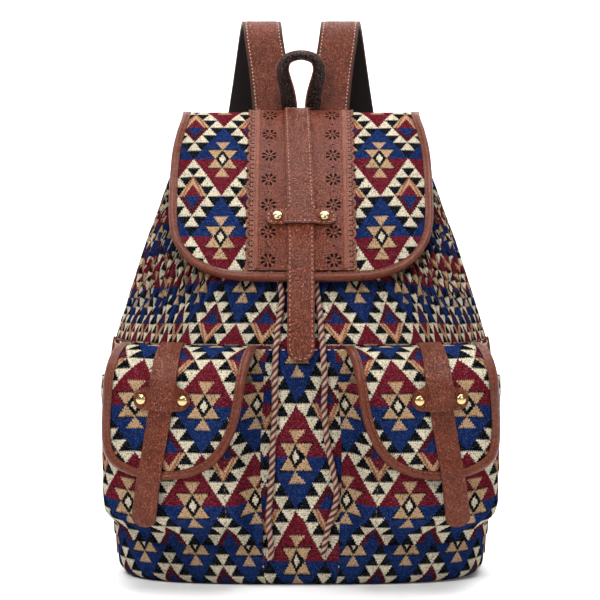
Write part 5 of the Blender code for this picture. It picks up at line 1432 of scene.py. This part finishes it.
def make_carrying():
    """Patch at the top of the back and the rounded handle."""
    half, low, high = ANCHOR_HALF_WIDTH, ANCHOR_BOTTOM_Z, ANCHOR_TOP_Z
    outline = [(-half, high), (-half, low), (half, low), (half, high)]
    plate_piece("anchor_patch_leather", back, outline, GAP, LEATHER, BROWN, "strap_anchor_patch",
                spacing=(5, 5), bevel=0.3)
    row = seam_line(back, closed_inset(outline, 2.4 * MM), GAP + LEATHER)
    stitch_piece("anchor_patch_stitching", [row], PATCH_STITCH)
    right = np.array(HANDLE_LINE) * MM
    line = even_path(np.concatenate([right * (-1, 1, 1), right[-2::-1]]), 2.5 * MM)
    run = direction(line)
    rear = unit(np.array((0, 1.0, 0)) - run * run[:, 1:2])
    across = np.cross(rear, run)
    wide, deep = (curve(keys)(line[:, 2])[:, None] / 2 for keys in (HANDLE_WIDTHS, HANDLE_DEPTHS))
    shape = oval(24, 1, 1)
    sections = rings_at(line, across, rear, joined(wide * shape[:, 0], deep * shape[:, 1]))
    wrinkle = ripple(0.009, 6.0, *line.T)[:, None] * 0.35 * MM
    sections += unit(sections - line[:, None]) * (wrinkle * np.abs(shape[:, 1]))[..., None]
    sweep_piece("handle_leather", sections, DARK, "carry_handle")
    for edge, beside in ((-1, "inner"), (1, "outer")):
        seam = (line + across * (edge * wide * 0.86) - rear * (deep * 0.51))[line[:, 2] > 358 * MM]
        sweep_piece("handle_" + beside + "_seam", tube_points(seam, oval(8, 0.55 * MM, 0.4 * MM)), WELT,
                    slot="dark_leather")


def make_waist_stitching():
    """Pale stitches along the waist seam."""
    along = np.arange(-SEAM_ALONG + 8 * MM, SEAM_ALONG - 8 * MM, 2 * MM)
    here, under = (front(along, WAIST_Z - 3 * MM, lift) for lift in (0.1 * MM, -1 * MM))
    stitch_piece("waist_stitching", [(here, unit(here - under))], WAIST_STITCH)


# Studio.

def make_studio():
    """Pale floor and backdrop, soft lights and the camera."""
    bend = [(1.2 + 0.8 * math.sin(t), 0.8 - 0.8 * math.cos(t)) for t in np.linspace(0.1, math.pi / 2, 12)]
    profile = [(-3.0, 0.0), (1.2, 0.0), *bend, (2.0, 4.0)]
    mesh = bpy.data.meshes.new("studio_floor")
    mesh.from_pydata([(x, y, z) for y, z in profile for x in (-4.0, 4.0)], [],
                     [(a, a + 2, a + 3, a + 1) for a in range(0, 2 * len(profile) - 2, 2)])
    mesh.shade_smooth()
    material = bpy.data.materials.new("studio_floor_paint")
    material.use_nodes = True
    shader = material.node_tree.nodes["Principled BSDF"]
    feed(shader.inputs["Base Color"], (0.93, 0.93, 0.93))
    feed(shader.inputs["Roughness"], 0.9)
    mesh.materials.append(material)
    floor = bpy.data.objects.new("studio_floor", mesh)
    bpy.context.scene.collection.objects.link(floor)

    world = bpy.data.worlds.new("studio_air")
    world.use_nodes = True
    air = world.node_tree.nodes["Background"]
    feed(air.inputs[0], (1, 1, 1))
    feed(air.inputs[1], 0.15)
    bpy.context.scene.world = world
    for name, place, target, size, power in LIGHTS:
        light = bpy.data.lights.new(name, "AREA")
        light.size, light.energy = size, power
        lamp = bpy.data.objects.new(name, light)
        lamp.location = place
        lamp.rotation_euler = (Vector(target) - Vector(place)).to_track_quat("-Z", "Y").to_euler()
        bpy.context.scene.collection.objects.link(lamp)

    camera = bpy.data.cameras.new("front_camera")
    camera.lens, camera.sensor_width = LENS, 36
    camera.shift_x, camera.shift_y = -1 / PICTURE, -3 / PICTURE
    eye = bpy.data.objects.new("front_camera", camera)
    eye.location = EYE
    eye.rotation_euler = (math.radians(90 - EYE_DOWN_DEGREES), 0, 0)
    bpy.context.scene.collection.objects.link(eye)
    bpy.context.scene.camera = eye
    bpy.context.scene.view_settings.view_transform = "Standard"


make_studio()
make_mouth()
make_front()
make_upper()
make_back()
make_flap()
for side, name in SIDES:
    make_piping(side, name)
    make_pocket(side, name)
    make_shoulder(side, name)
    make_webbing(side, name)
make_carrying()
make_waist_stitching()
